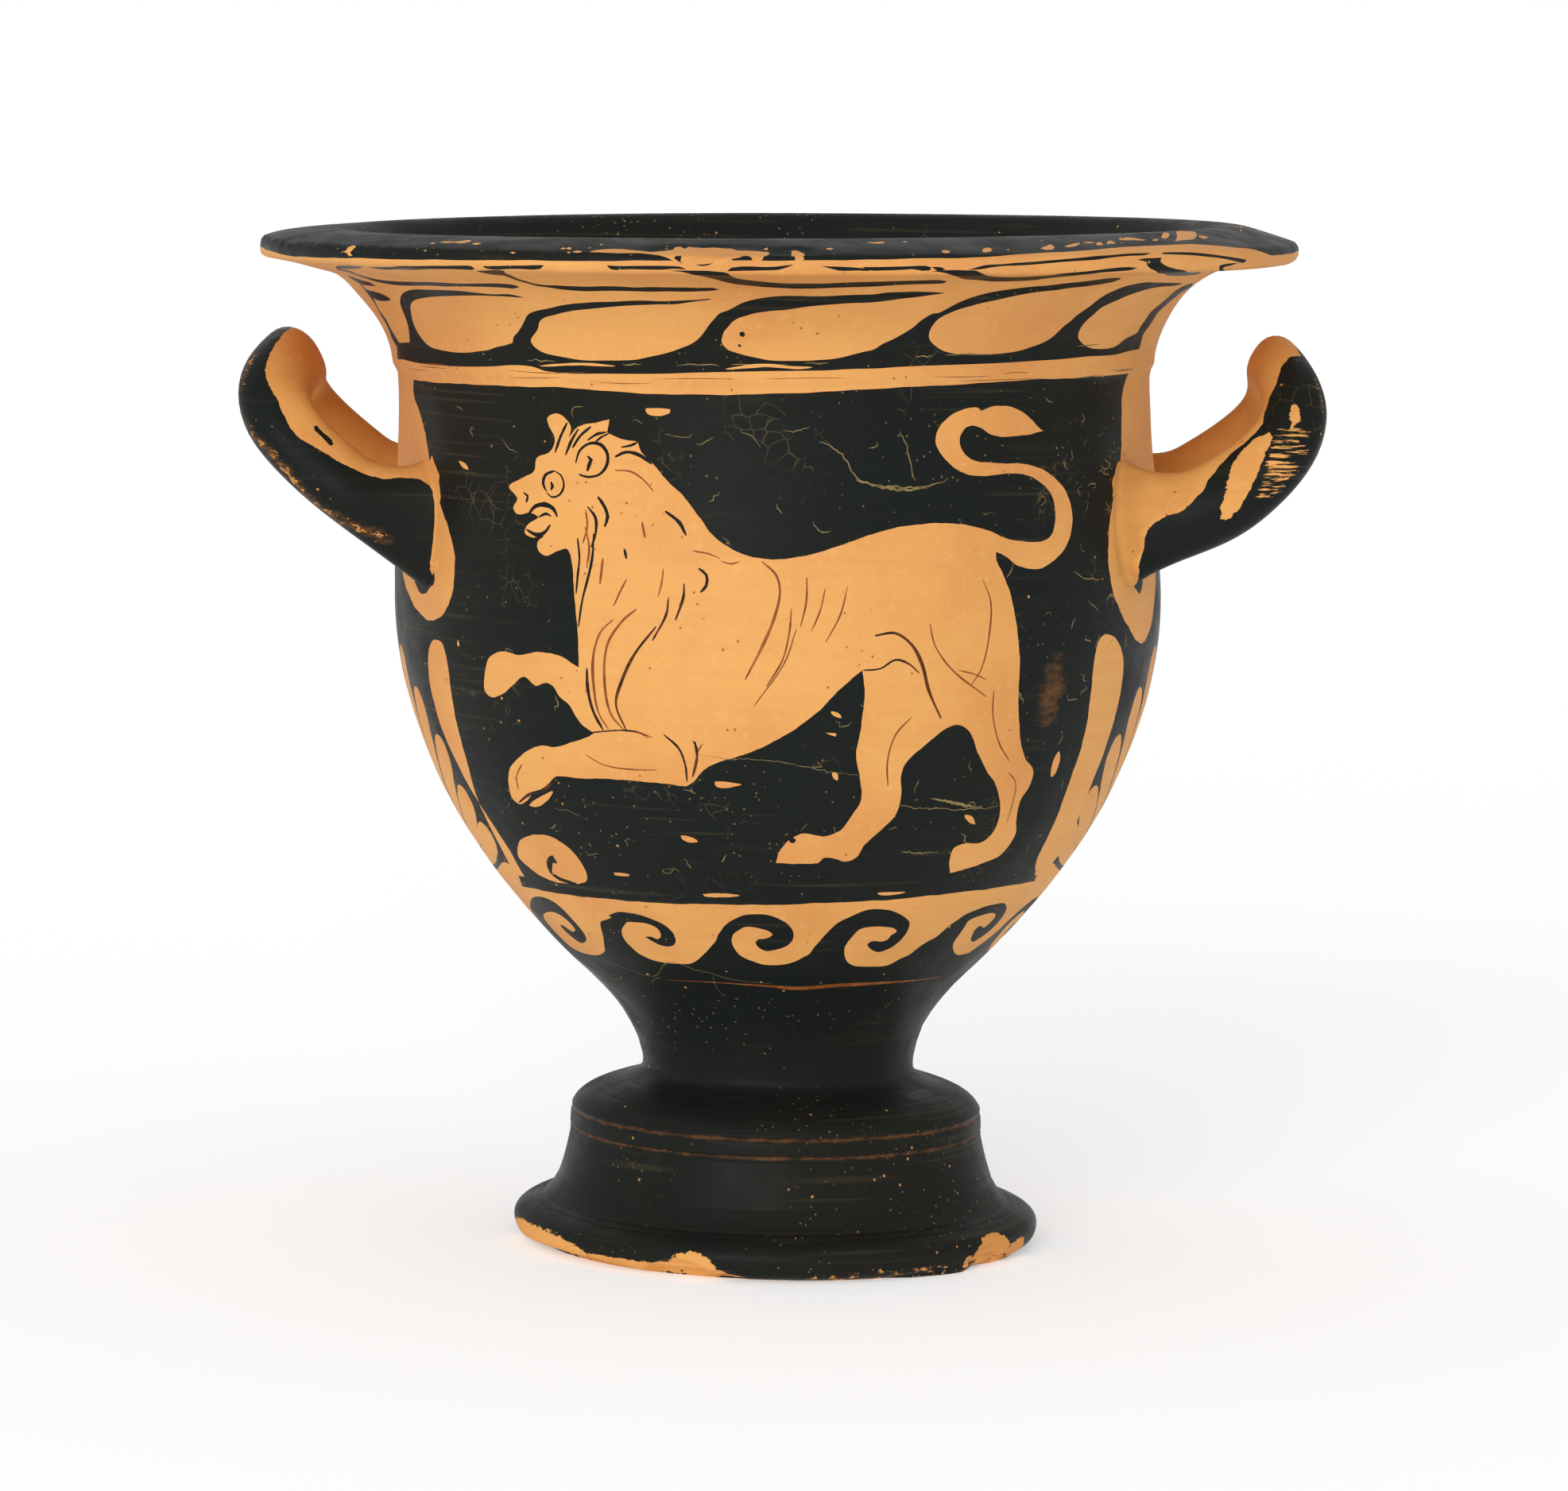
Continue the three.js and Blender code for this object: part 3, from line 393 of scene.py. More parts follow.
BAND_UP = [
    (-130.6, 284.3, 1), (-133.6, 286.3), (-132, 289.9), (-130.4, 293.7), (-125.8, 299), (-124.6, 302.6),
    (-123.3, 307.1), (-120.9, 310.7, 1), (-121.7, 307.2), (-122.6, 303.7), (-118.2, 303), (-113.7, 302.3),
    (-111.2, 301.3), (-110.3, 300.1, 1), (-114.2, 299.5), (-119.6, 299.3), (-122.7, 300, 1), (-127.3, 295.7),
    (-127.7, 292.6), (-128.8, 289.6), (-127.8, 287.3), (-126.2, 285.6, 1), (-116.5, 286.2, 1), (-114.2, 288.8),
    (-111.6, 291.8), (-109.8, 294.4), (-108.5, 296.6), (-106.7, 298.9), (-103.8, 301.3), (-100.6, 303.2),
    (-96.9, 304.5), (-93.5, 305.1), (-88.4, 305.2), (-82.5, 305.3), (-77.1, 305.2), (-72.3, 304.6),
    (-67.7, 304.2), (-63, 304.4), (-60.5, 303.8), (-58.9, 303.1, 1), (-61.1, 303.2), (-63.3, 303.4),
    (-67.9, 303.5), (-72.9, 303.5), (-78.2, 303.2), (-84, 302.8), (-88.8, 302.3), (-94.3, 301.4),
    (-98.5, 300.3), (-101.7, 298.6), (-104.4, 296), (-106.8, 293.3), (-108, 290.8), (-107.8, 288.7),
    (-106.6, 286.9), (-104, 285.5), (-100.1, 284.9), (-96.3, 284.6), (-91.7, 284.4), (-86.5, 284.6),
    (-82.2, 285.1), (-78.4, 285.6), (-75.2, 286.5), (-71.6, 287.2), (-69.2, 287.9, 1), (-68.3, 289.5),
    (-66.3, 291), (-64.3, 292.8), (-62.4, 294.8), (-60.9, 296.5), (-59.3, 297.6), (-56.8, 298.5),
    (-53.6, 299.3), (-50, 300.4), (-46.6, 301.2), (-43.5, 301.6), (-40.4, 302), (-36.5, 302.2), (-32.6, 302.6),
    (-28.8, 302.8), (-25.1, 302.6), (-21.4, 302.8), (-18.2, 303.1), (-16, 303.3), (-14.2, 303.7),
    (-13, 303.6, 1), (-14.2, 303.2), (-16, 302.8), (-18.2, 302.3), (-21.5, 301.5), (-25.2, 301.4), (-29, 301.1),
    (-32.8, 300.8), (-36.8, 300.3), (-39.9, 299.8), (-43.1, 299.3), (-46.4, 298.8), (-49.8, 298), (-53, 297),
    (-56.1, 296), (-58.1, 294.5), (-59.4, 292.4), (-60.9, 290.9), (-62.5, 289.5), (-63.2, 288.3),
    (-62.8, 287.2), (-61.6, 286.1), (-59.9, 285.3), (-57.6, 284.8), (-54.1, 284.3), (-50.7, 283.8),
    (-47.3, 283.6), (-42.9, 283.7), (-38.5, 283.8), (-34.2, 284.1), (-31, 284.8), (-27.9, 285.5),
    (-24.7, 286.4), (-22.2, 287.4), (-19.9, 288.4), (-17.9, 289.8), (-16.4, 291.5), (-15.4, 293),
    (-14.2, 294.8), (-12.9, 296.6), (-11.5, 298.4), (-9.9, 299.2), (-8.4, 300.3), (-6.6, 301.9), (-4.4, 303.2),
    (-1.9, 304.1), (1.5, 304.8), (5, 304.9), (8.5, 304.7), (12.1, 304.7), (15.5, 305), (19, 305.2),
    (22.5, 305.3), (25, 306), (28.6, 306.2), (32.2, 306.3), (36.1, 305.9), (38.1, 305.6), (38.8, 305.3, 1),
    (37.4, 305), (34.8, 304.4), (32.2, 303.8), (29.6, 303.4), (27, 302.8), (24.4, 302.3), (21.7, 302),
    (18.1, 301.9), (14.5, 301.5), (11, 301.1), (7.5, 300.5), (3.9, 299.6), (0.3, 299.2), (-3.4, 298.4),
    (-5.3, 297.6), (-7.2, 296.8), (-8.7, 295.6), (-9.8, 294.1), (-11.1, 292.3), (-11.6, 290.9), (-12, 289.3),
    (-11.5, 288), (-10.6, 287), (-8.9, 286.3), (-6.4, 285.5), (-3.7, 284.9), (-1, 284.3), (1.7, 284.1),
    (5.6, 284.1), (8.6, 284.1), (11.5, 284.3), (14.5, 284.5), (17.4, 285), (20.4, 285.8), (23, 286.5),
    (25.3, 287.1), (27.2, 288.5), (29.2, 289.6), (30.7, 290.5), (32.9, 292.1), (34.5, 293.5), (36, 295.5),
    (37.5, 297), (38.7, 297.9), (39.9, 298), (41.1, 298.8), (42.5, 300.1), (44.3, 301.8), (46.4, 303.4),
    (49.2, 304.9), (52.3, 306), (56.3, 306.9), (60.1, 307.6), (64.2, 308), (68.1, 308.9), (72.2, 309.5),
    (76, 310.8), (78.6, 312), (81.6, 312), (83.9, 310.6, 1), (83.4, 308.9), (81.1, 308), (77.9, 307.2),
    (74.6, 306.7), (71.3, 306.3), (68.3, 305.6), (64, 305.1), (60.1, 304.3), (56.5, 303.2), (53.3, 302.1),
    (50.1, 301.2), (47.4, 300.1), (44.7, 299), (42.1, 297.4), (40.4, 295.9), (39.5, 294.2), (39, 292.5),
    (39, 290.6), (39.7, 289.2), (41.2, 287.8), (43.3, 286.5), (46, 285.7), (49.2, 285.3), (53.3, 285.1),
    (58, 285.2), (62.9, 285.5), (66.5, 286), (70.2, 287), (73.1, 287.9), (75.5, 289.2), (77.1, 290.8),
    (78.5, 292.6), (80.3, 294.3), (81.2, 295.7), (82.8, 297.3), (84.5, 299.1), (85.5, 300.9), (86.6, 302.8),
    (88, 304.2), (89.8, 305.8), (92.5, 306.9), (96.4, 307.6), (102.3, 307.1), (109.6, 306.5), (116.3, 306),
    (121.4, 305.3, 1), (117, 304.8), (110.4, 304.9), (104.6, 304.6), (100.4, 303.5), (96.8, 302.2),
    (93.7, 300.5), (91.4, 299.4), (89.2, 298.1), (87.7, 295.9), (86, 293.7), (85.1, 291.3), (85.5, 289.2),
    (87.5, 287.6), (90, 286.4), (93.4, 285.6), (98.4, 285.3), (103.1, 285.5), (106.1, 286.4), (107.8, 287.4),
    (110.5, 288.2), (114.8, 289.3), (115.2, 291), (116.2, 293.1), (116.9, 295.5), (119.8, 297.8), (122, 300),
    (123.1, 302.8), (125.4, 304.4), (131.4, 305, 1), (139, 302.8), (132.4, 301.1), (129.3, 299.1),
    (125.3, 296.6), (123.1, 294.7), (122.8, 292.3), (121.5, 290.2), (120.1, 288.7), (120.7, 286.9),
    (121.2, 284.9),
]
# leaves under the lip, and the broken line above them
UPPER = [
    [(-108, 320.3), (-106.3, 317.8), (-109, 313.5), (-109.6, 310.1), (-105.2, 308.9), (-98.2, 308.6),
     (-91.4, 308.8), (-85.3, 309.1), (-80, 309), (-75, 308.8), (-69.9, 309.2), (-65.2, 309.5), (-61.9, 309.4),
     (-59.9, 309), (-58.6, 307.8, 1), (-60.7, 306.9), (-63, 307.2), (-67.4, 307.4), (-71, 307.4),
     (-75.9, 307.3), (-81.4, 307), (-87, 307.1), (-93.4, 306.7), (-100.4, 306.6), (-105.7, 307), (-110.7, 308),
     (-114, 310.2), (-111.3, 315), (-111.6, 318.3)],
    [(-126.6, 309.4), (-121.7, 308.7), (-117.6, 307.5), (-114.3, 307), (-112.8, 305.3, 1), (-117.4, 305.3),
     (-122.9, 305.7), (-126.5, 307.3)],
    [(-58.8, 327), (-55.1, 329.3), (-52.7, 329.5), (-51.8, 329.3), (-53.5, 324.6), (-54.3, 320.5),
     (-54.9, 316.3), (-54.7, 313.1), (-53.7, 310.2), (-51.6, 309.2), (-48.7, 309.1), (-44.9, 308.8),
     (-41.1, 308.7), (-37.2, 309.1), (-33.6, 309), (-30.1, 308.6), (-26.5, 308.9), (-23, 308.8), (-19.5, 308.8),
     (-16, 308.6), (-13.4, 308.7), (-11.7, 307.8, 1), (-12.9, 307.2), (-16.1, 306.8), (-19.6, 306.6),
     (-23.1, 306.7), (-26.7, 306.5), (-30.4, 306.6), (-34, 306.7), (-37.8, 306.6), (-41.7, 306.3),
     (-45.5, 306.6), (-48.3, 307), (-51.1, 307.9), (-53.8, 308.6), (-55.7, 310.5), (-56.5, 313.4),
     (-56.4, 317.3), (-56.7, 319.5), (-58.5, 320.4), (-59.2, 323.4)],
    [(-19.4, 330.6, 1), (-16.8, 330.7), (-14.6, 330.7), (-12.5, 330.7), (-11, 330.5), (-9.3, 330.3),
     (-8.5, 329.8), (-7.9, 325.3), (-6.9, 319.6), (-4.7, 316.4), (-2.3, 314.5), (0.9, 312.8), (4.2, 312.3),
     (7.5, 312.2), (10.8, 312.1), (14.1, 312.9), (17.3, 313.3), (20.6, 313.6), (23.9, 314), (27.2, 314.3),
     (30.5, 314.6), (33.8, 314.9), (36.6, 312.9, 1), (36.2, 310.8), (33.4, 310.6), (29.9, 310.4), (26.5, 309.9),
     (22.3, 309.2), (19, 308.9), (14.7, 308.7), (11.3, 308.4), (7.9, 308.2), (4.5, 308.2), (1, 308.7),
     (-2.4, 309.2), (-4.9, 310), (-7.4, 311.1), (-9.7, 313.3), (-11.1, 316.3), (-12.7, 321.9), (-14, 327.5),
     (-16, 329.9)],
    [(28, 330.8, 1), (29.9, 331), (32.1, 331.1), (34.4, 331), (36.4, 330.9), (37.2, 330.5), (38.8, 329.3),
     (42.5, 324.7), (47.1, 321.1), (50.2, 322), (51.9, 325.7), (53.6, 329.3), (56.7, 330), (60, 330.4),
     (63.5, 330.9), (66.2, 331.2), (69, 331.3), (71.3, 331, 1), (70.1, 330.5), (67.6, 330.2), (64.8, 330),
     (62.3, 329.6), (59.7, 327.9), (62.4, 317.1), (60.1, 314.3), (57.3, 312.2), (53.5, 311.7), (50, 311.6),
     (46.6, 312), (43.1, 313.8), (40.5, 314.7), (38.5, 316.6), (32.9, 328.6), (30.8, 330.2)],
    [(71, 333.1, 1), (73, 333.4), (75.5, 333.4), (77.5, 333.5, 1), (77, 332.8), (77.5, 332), (79.4, 331.1),
     (82.1, 330.4), (85.5, 329.6), (109.5, 314.5), (93.9, 327.6, 1), (118, 311.1), (113.2, 310.3), (105.6, 311),
     (97.3, 313.2), (77.1, 329.7), (74.6, 330.8), (73.5, 331.7), (73.5, 332.4)],
    [(130.3, 310.1), (117.4, 315.1), (95.1, 330.7), (97.5, 331.3), (102, 331.4, 1), (99.3, 330.8), (97, 330.2),
     (133, 310.8)],
]
LIP_LINE = [
    [(-101.4, 324.7), (-93.6, 327.3), (-89.7, 326.4, 1), (-97, 321.9), (-108, 320.3)],
    [(-87.9, 326.9, 1), (-83.1, 327.6), (-77, 329.7), (-72.7, 330), (-68.6, 330.3), (-64.7, 330.5),
     (-61, 330.7), (-58.8, 330.7), (-58, 330), (-58.6, 329.2), (-61.4, 329.2), (-65.2, 329.1), (-69.9, 327.8),
     (-76.3, 324.7), (-81.4, 324.1), (-86.6, 322.5), (-88.8, 324.2)],
    [(-56.2, 330.7), (-53.1, 330.9), (-50.5, 331.1), (-47.2, 331.2), (-44.8, 331.4), (-43.3, 331.4, 1),
     (-44, 330.4), (-45.3, 330.1), (-48, 330.2), (-50.6, 330.1), (-53.2, 329.7), (-55.4, 330)],
    [(-31.1, 331.7, 1), (-28.6, 331.6), (-25.6, 331.7), (-22.7, 331.8), (-19.8, 331.8), (-17.6, 331.7),
     (-16.2, 330.9, 1), (-18.3, 331.1), (-21.1, 330.8), (-24.1, 330.8), (-27, 330.8), (-30, 330.6)],
    [(-15.1, 331.3, 1), (-14.3, 331.6), (-13.3, 330.9, 1), (-14.6, 330.8)],
    [(-8.9, 330.6, 1), (-8.3, 331.6), (-6.2, 331.9), (-4.1, 331.9), (-2.6, 331.8), (-0.5, 331.9), (1.3, 332.2),
     (3, 332.5, 1), (1.6, 331.7), (0.3, 331.1), (-2.5, 330.9), (-5.4, 330.8), (-7.5, 330.7)],
    [(7.8, 332.1, 1), (10.1, 332), (12.3, 331.9), (14.4, 331.7), (17.3, 331.4, 1), (16.3, 330.9), (14.5, 331),
     (12.4, 330.9), (10.9, 331)],
    [(15.1, 331.9, 1), (18, 331.9), (20.9, 332), (23.8, 332.1), (26.7, 332.2), (27.8, 331.8), (27.6, 331),
     (26.2, 330.9), (24.6, 331.3), (21.7, 331.1), (18.8, 331), (16.7, 331)],
    [(27.9, 331.9, 1), (29.7, 331.8), (30.6, 331.2, 1), (29.2, 330.8)],
    [(34.8, 331.1, 1), (35.8, 331.5), (38.1, 332.3), (41.2, 332.5), (44.4, 332.8), (47.6, 333), (50.9, 333.3),
     (54.3, 333.6), (57.9, 333.9), (61.5, 334.3), (65.3, 334.5), (69.5, 334.9), (74.5, 334.9), (75, 334.8, 1),
     (73.1, 334.2), (69, 334.1), (65.1, 333.8), (61.4, 333.3), (57.8, 333.1), (54.3, 332.9), (50.9, 332.6),
     (47.6, 332.3), (44.4, 332.1), (41.5, 332), (38.9, 331.6), (37, 331.2)],
    [(77.5, 334.4, 1), (78.5, 334.9), (82, 334.9), (86.5, 334.6), (91.2, 334), (96.5, 333.3), (100.8, 332.7),
     (105, 332.1, 1), (104.3, 331.3), (99.3, 332.1), (95, 332.8), (89.8, 333.4), (85, 333.9), (80.5, 334.2)],
]
# where the clay stripe of the lip ends
LIP_STRIPE = [
    (-139.5, 332), (-117.6, 330.9), (-102.2, 330.9), (-90.7, 331.3), (-81.1, 331.6), (-72.5, 331.9),
    (-64.7, 332.1), (-57.5, 332.3), (-50.6, 332.5), (-40.9, 332.8), (-31.6, 332.9), (-21.3, 333.2), (3, 333.5),
    (11.5, 333.6), (17.3, 333.8), (24.6, 334), (32, 334.1), (38.2, 334.5), (44.8, 335.4), (51.9, 336.6),
    (55.5, 336.7), (63.4, 337.8), (72.3, 339.4), (81.4, 339.7), (91.5, 339.8), (96, 338.7), (104.2, 335.5),
    (117.5, 332.7),
]
# gloss rubbed or broken off the lip, and what is left of it inside the patches
LIP_WORN = [
    [(-34.7, 335.5), (-32.8, 337.5), (-29.5, 338.1), (-26.3, 337.3), (-23.3, 337.5), (-21.3, 338.6),
     (-19.8, 339.8), (-19.5, 341.9), (-18.7, 342.4), (-17.5, 340.8), (-17.2, 342.5), (-14.9, 341.8),
     (-11.9, 341.9), (-8.8, 341.2), (-7.5, 339.7), (-5.7, 339.4), (-3.5, 339.1), (-1.7, 338.5), (-1.8, 336),
     (-2.5, 335), (-2.8, 333.6), (-3.4, 333.2), (-4.5, 333.2), (-4.8, 334.5), (-5.8, 335.6), (-6.9, 334.4),
     (-8.3, 333.8), (-8, 333.2), (-6.2, 332.6), (-6.9, 331.8), (-11.1, 331), (-15.4, 330.9), (-17.2, 332.1),
     (-19.1, 333.4), (-20.4, 334.2), (-21.5, 334.9), (-22.6, 335.2), (-25.9, 335.3), (-28.8, 335.1),
     (-31.1, 335.2)],
    [(2.5, 339.3), (3.1, 340), (4, 338.7), (4.8, 336.8), (4.6, 334.3), (4.8, 333.7), (4.1, 333.3), (3.4, 332.1),
     (2.6, 332.1), (3.1, 333.5), (2.9, 335.6), (2.5, 335.1)],
    [(-93.5, 333), (-92.2, 333.3), (-91.7, 334.4), (-90.9, 335), (-89.6, 334.7), (-90.1, 333.6), (-90.8, 332.9),
     (-90, 332.2), (-91, 331.9), (-92.1, 332.7)],
    [(-70.5, 341), (-69.6, 342.4), (-66.8, 342.3), (-65.7, 345.3), (-64.1, 343.4), (-64.6, 340.4), (-67, 341.1),
     (-68.6, 340.3)],
    [(-61.9, 340.3), (-61.4, 341.4), (-59.9, 340.6), (-60.4, 339.1)],
    [(-50.6, 334.5), (-50, 334.7), (-49.3, 334.4), (-49.9, 334.1)],
    [(-41.2, 337.5), (-40.9, 338.5), (-40.1, 337.5), (-40.5, 336.9)],
    [(-40.2, 337.9), (-39.9, 339), (-39, 337.6), (-39.1, 336.7)],
    [(-39.2, 335.2), (-38.5, 335.3), (-38.5, 334.5)],
    [(-38.1, 335.3), (-37.4, 336.2), (-36.1, 335.4), (-36.9, 334.8)],
    [(-34.7, 342.2), (-34.5, 343.2), (-34, 341.3)],
    [(-70.4, 334.3), (-69.7, 334.5), (-69.5, 334)],
    [(-72, 339.3), (-71.5, 340.3), (-70.5, 338.6)],
    [(-2.7, 340.6), (-2.1, 341.8), (-1.9, 339.9)],
    [(8.9, 339.8), (9.7, 340.9), (10.4, 340.5), (9.6, 339.1)],
    [(17.5, 347.2), (19, 346.7), (20.8, 347.6), (20.9, 346.1), (18.8, 345.3)],
    [(24.8, 347.4), (25.7, 347.9), (25.6, 346.4)],
    [(30.6, 338.1), (31.6, 339), (32.2, 338.1), (31.5, 336.6), (30.6, 336.9)],
    [(38.5, 337.3), (39.5, 339.8), (40.6, 340.8), (41.1, 339.8), (40.2, 337.6), (39.1, 337)],
    [(43.9, 338.7), (44.6, 339.6), (44.1, 338.1)],
    [(51.4, 339.4), (53.4, 341.2), (55.1, 342.5), (55, 340.5), (53.6, 338.6), (52, 338.4)],
    [(57.4, 340.7), (60.5, 342.8), (62.6, 343.4), (60.5, 341.1), (58, 340)],
    [(63.7, 343.6), (65.5, 344.2), (66.4, 343.4), (64.6, 342.9)],
    [(66, 342.4), (67.8, 343.7), (67.7, 342.3), (66.5, 341.1), (65.5, 341.1)],
    [(68.3, 341.6), (71.1, 344.8), (71.5, 344.1), (70.9, 342.1), (69.7, 342.2)],
    [(74.7, 346), (76.3, 347.1), (74.2, 344.5)],
    [(74.8, 345.2), (78.1, 347.3), (78.9, 346.4), (81.5, 346.5), (82.5, 345.2), (80, 344), (77.4, 344.6),
     (75.1, 344.5)],
    [(83.9, 345.1), (86.1, 346), (86.1, 345.2), (84.2, 344.3)],
    [(88.9, 346.9), (94.4, 350.8), (94.8, 350), (91.9, 347.3), (89, 346)],
    [(98.8, 350.6), (103.1, 352.3), (104.4, 350.8), (105.7, 349.7), (98.3, 344.3), (95.5, 343.2), (92.5, 343.2),
     (89.6, 342.5), (88.8, 342.5), (93.8, 346.3)],
    [(100.9, 345.4), (103.1, 345.6), (103.5, 344.4), (100.1, 343.4)],
]
LIP_LEFT = [
    [(-18.5, 334.8), (-17.4, 334.9), (-17.5, 333), (-16.9, 332.3), (-18.1, 333.2), (-18.7, 333.8)],
    [(-14.7, 332.2), (-13.3, 332.3), (-11.6, 332.6), (-12.6, 332), (-14, 331.9)],
]
# ---- painting on the unrolled wall ------------------------------------------------
U0 = math.pi * UREF
GLOSS, CLAY, WASH, CRACK, DARK = 0, 1, 2, 3, 4
SHAPES = []                      # (points, material) in painter's order


def spline(pts, step=1.0, closed=True):
    """Smooth curve through points; a third number marks a sharp corner."""
    p = np.array([q[:2] for q in pts], float)
    corner = np.array([len(q) > 2 and q[2] > 0 for q in pts])
    n = len(p)
    out = []
    last = n if closed else n - 1
    for i in range(last):
        a, b = p[i], p[(i + 1) % n]
        pa = p[(i - 1) % n] if (closed or i > 0) else a
        pb = p[(i + 2) % n] if (closed or i + 2 < n) else b
        if corner[i]:
            pa = a
        if corner[(i + 1) % n]:
            pb = b
        d = max(np.hypot(*(b - a)), 1e-6)
        da, db = max(np.hypot(*(a - pa)), 1e-6), max(np.hypot(*(pb - b)), 1e-6)
        ma = (b - pa) / (d + da) * d if da > 1e-5 else (b - a)
        mb = (pb - a) / (d + db) * d if db > 1e-5 else (b - a)
        k = max(1, int(round(d / step)))
        t = (np.arange(k) / k)[:, None]
        out.append((2 * t**3 - 3 * t**2 + 1) * a + (t**3 - 2 * t**2 + t) * ma
                   + (-2 * t**3 + 3 * t**2) * b + (t**3 - t**2) * mb)
    out = np.vstack(out)
    return out if closed else np.vstack([out, p[-1:]])


def hand(pts, amount, seed):
    """The unsteadiness of a brush along a closed outline."""
    p = np.asarray(pts, float)
    d = np.roll(p, -1, 0) - np.roll(p, 1, 0)
    n = np.stack([d[:, 1], -d[:, 0]], 1) / np.maximum(np.hypot(*d.T), 1e-6)[:, None]
    s = np.concatenate([[0], np.cumsum(np.hypot(*np.diff(p, axis=0).T))])
    total = s[-1] + np.hypot(*(p[0] - p[-1]))
    g = np.random.default_rng(seed)
    w = np.zeros(len(p))
    for wave, a in ((9.0, 0.5), (4.5, 0.35), (2.6, 0.25)):
        k = max(1, round(total / wave))
        w += a * np.sin(2 * np.pi * k * s / total + g.uniform(0, 6.28))
    return p + n * (w * amount)[:, None]


def put(pts, mat):
    p = np.asarray(pts, float)
    SHAPES.append((p, mat))
    if p[:, 0].max() > U0:
        SHAPES.append((p - (2 * U0, 0), mat))
    if p[:, 0].min() < -U0:
        SHAPES.append((p + (2 * U0, 0), mat))


def area(pts, mat, step=1.1, rough=0.12, seed=0):
    put(hand(spline(pts, step), rough, seed), mat)


def brush(pts, widths, mat, step=1.2, taper=0.35, seed=0, rough=0.05):
    """A stroke of the brush: a line with a width that swells and thins."""
    c = spline(pts, step, closed=False)
    d = np.gradient(c, axis=0)
    n = np.stack([d[:, 1], -d[:, 0]], 1) / np.maximum(np.hypot(*d.T), 1e-6)[:, None]
    t = np.linspace(0, 1, len(c))
    w = np.interp(t, np.linspace(0, 1, len(widths)), widths) if np.ndim(widths) else np.full(len(c), widths)
    if taper is not None:
        w = w * (taper + (1 - taper) * np.sin(np.pi * t) ** 0.5)
    g = np.random.default_rng(seed)
    w = w * (1 + 0.12 * np.sin(t * 9 + g.uniform(0, 6)) + 0.08 * np.sin(t * 23 + g.uniform(0, 6)))
    left = c + n * (w / 2)[:, None]
    right = c - n * (w / 2)[:, None]
    put(np.vstack([left, right[::-1]]), mat)


def edge(v, amount, seed, extra=()):
    """A painted line right round the vessel, closed on itself: (u, v) points."""
    k = 420
    u = np.linspace(-U0, U0, k + 1)
    th = u / UREF
    w = np.zeros(k + 1)
    g = np.random.default_rng(seed)
    for f, a in ((3, 0.45), (7, 0.35), (16, 0.3), (33, 0.25), (61, 0.18), (90, 0.12)):
        w += a * np.sin(f * th + g.uniform(0, 6.28))
    out = v + amount * w
    if len(extra):
        e = np.array(extra, float)
        out = out + np.interp(u, e[:, 0], e[:, 1])
    out[-1] = out[0]
    return np.stack([u, out], 1)


def ring(low, high, mat):
    SHAPES.append((np.vstack([low, high[::-1]]), mat))


def moved(pts, du=0.0, dv=0.0, su=1.0, sv=1.0, u_about=0.0, v_about=0.0):
    return [((p[0] - u_about) * su + u_about + du, (p[1] - v_about) * sv + v_about + dv) + tuple(p[2:]) for p in pts]


def flipped(pts, about):
    """Mirrored left to right about a line up the wall."""
    return [(2 * about - p[0], p[1]) + tuple(p[2:]) for p in pts][::-1]


SIDE = math.pi / 2 * UREF            # the middle of each handle
PITCH = 2 * U0 / 13                  # waves and leaves: thirteen round the vessel

# band of running waves under the picture: five traced from the front, eight more
# of the middle one carried round the back
low_top = edge(136.4, 0.3, 3, [(-U0, 1.0), (-112, -0.8), (-60, -0.4), (0, -0.2), (70, 1.4), (112, 1.2), (U0, 1.0)])
traced = spline(WAVES[:218], 1.0, closed=False)
cell = np.array([q[:2] for q in WAVES[85:131]], float)
u_end, v_end = WAVES[217][:2]
gap = 2 * U0 + WAVES[0][0] - u_end
hidden = []
n_hidden = 8
wseed = np.random.default_rng(8)
joints = u_end + gap * (np.arange(n_hidden + 1) / n_hidden)
joints[1:-1] += wseed.uniform(-1.3, 1.3, n_hidden - 1)
v0, v1 = cell[0, 1], cell[-1, 1]
base = np.linspace(v_end, WAVES[0][1], n_hidden + 1) + np.concatenate([[0], wseed.uniform(-0.8, 0.8, n_hidden - 1), [0]])
for k in range(n_hidden):
    t = (cell[:, 0] - cell[0, 0]) / (cell[-1, 0] - cell[0, 0])
    u = joints[k] + t * (joints[k + 1] - joints[k])
    v = cell[:, 1] - (v0 + (v1 - v0) * t) + base[k] + (base[k + 1] - base[k]) * t
    lift = 1.0 + (float(wseed.uniform(-0.03, 0.04)))
    v = base[k] + (v - base[k]) * lift
    hidden.append(np.stack([u, v], 1)[1:])
hidden = spline([tuple(q) for q in np.vstack(hidden)], 1.1, closed=False)
lower = np.vstack([traced, hidden])
upper = []
for sh in (0, 2 * U0):
    m = low_top + (sh, 0)
    upper.append(m[:-1] if sh == 0 else m)
upper = np.vstack(upper)
upper = upper[(upper[:, 0] >= lower[0, 0]) & (upper[:, 0] <= lower[0, 0] + 2 * U0)]
start = np.array([lower[0, 0], np.interp(lower[0, 0], low_top[:, 0], low_top[:, 1])])
finish = start + (2 * U0, 0)
def ticks(a, b, n=16):
    t = np.linspace(0, 1, n + 1)[1:-1, None]
    return np.asarray(a) + (np.asarray(b) - np.asarray(a)) * t


put(np.vstack([lower, ticks(lower[-1], finish), [finish], upper[::-1], [start], ticks(start, lower[0])]), CLAY)

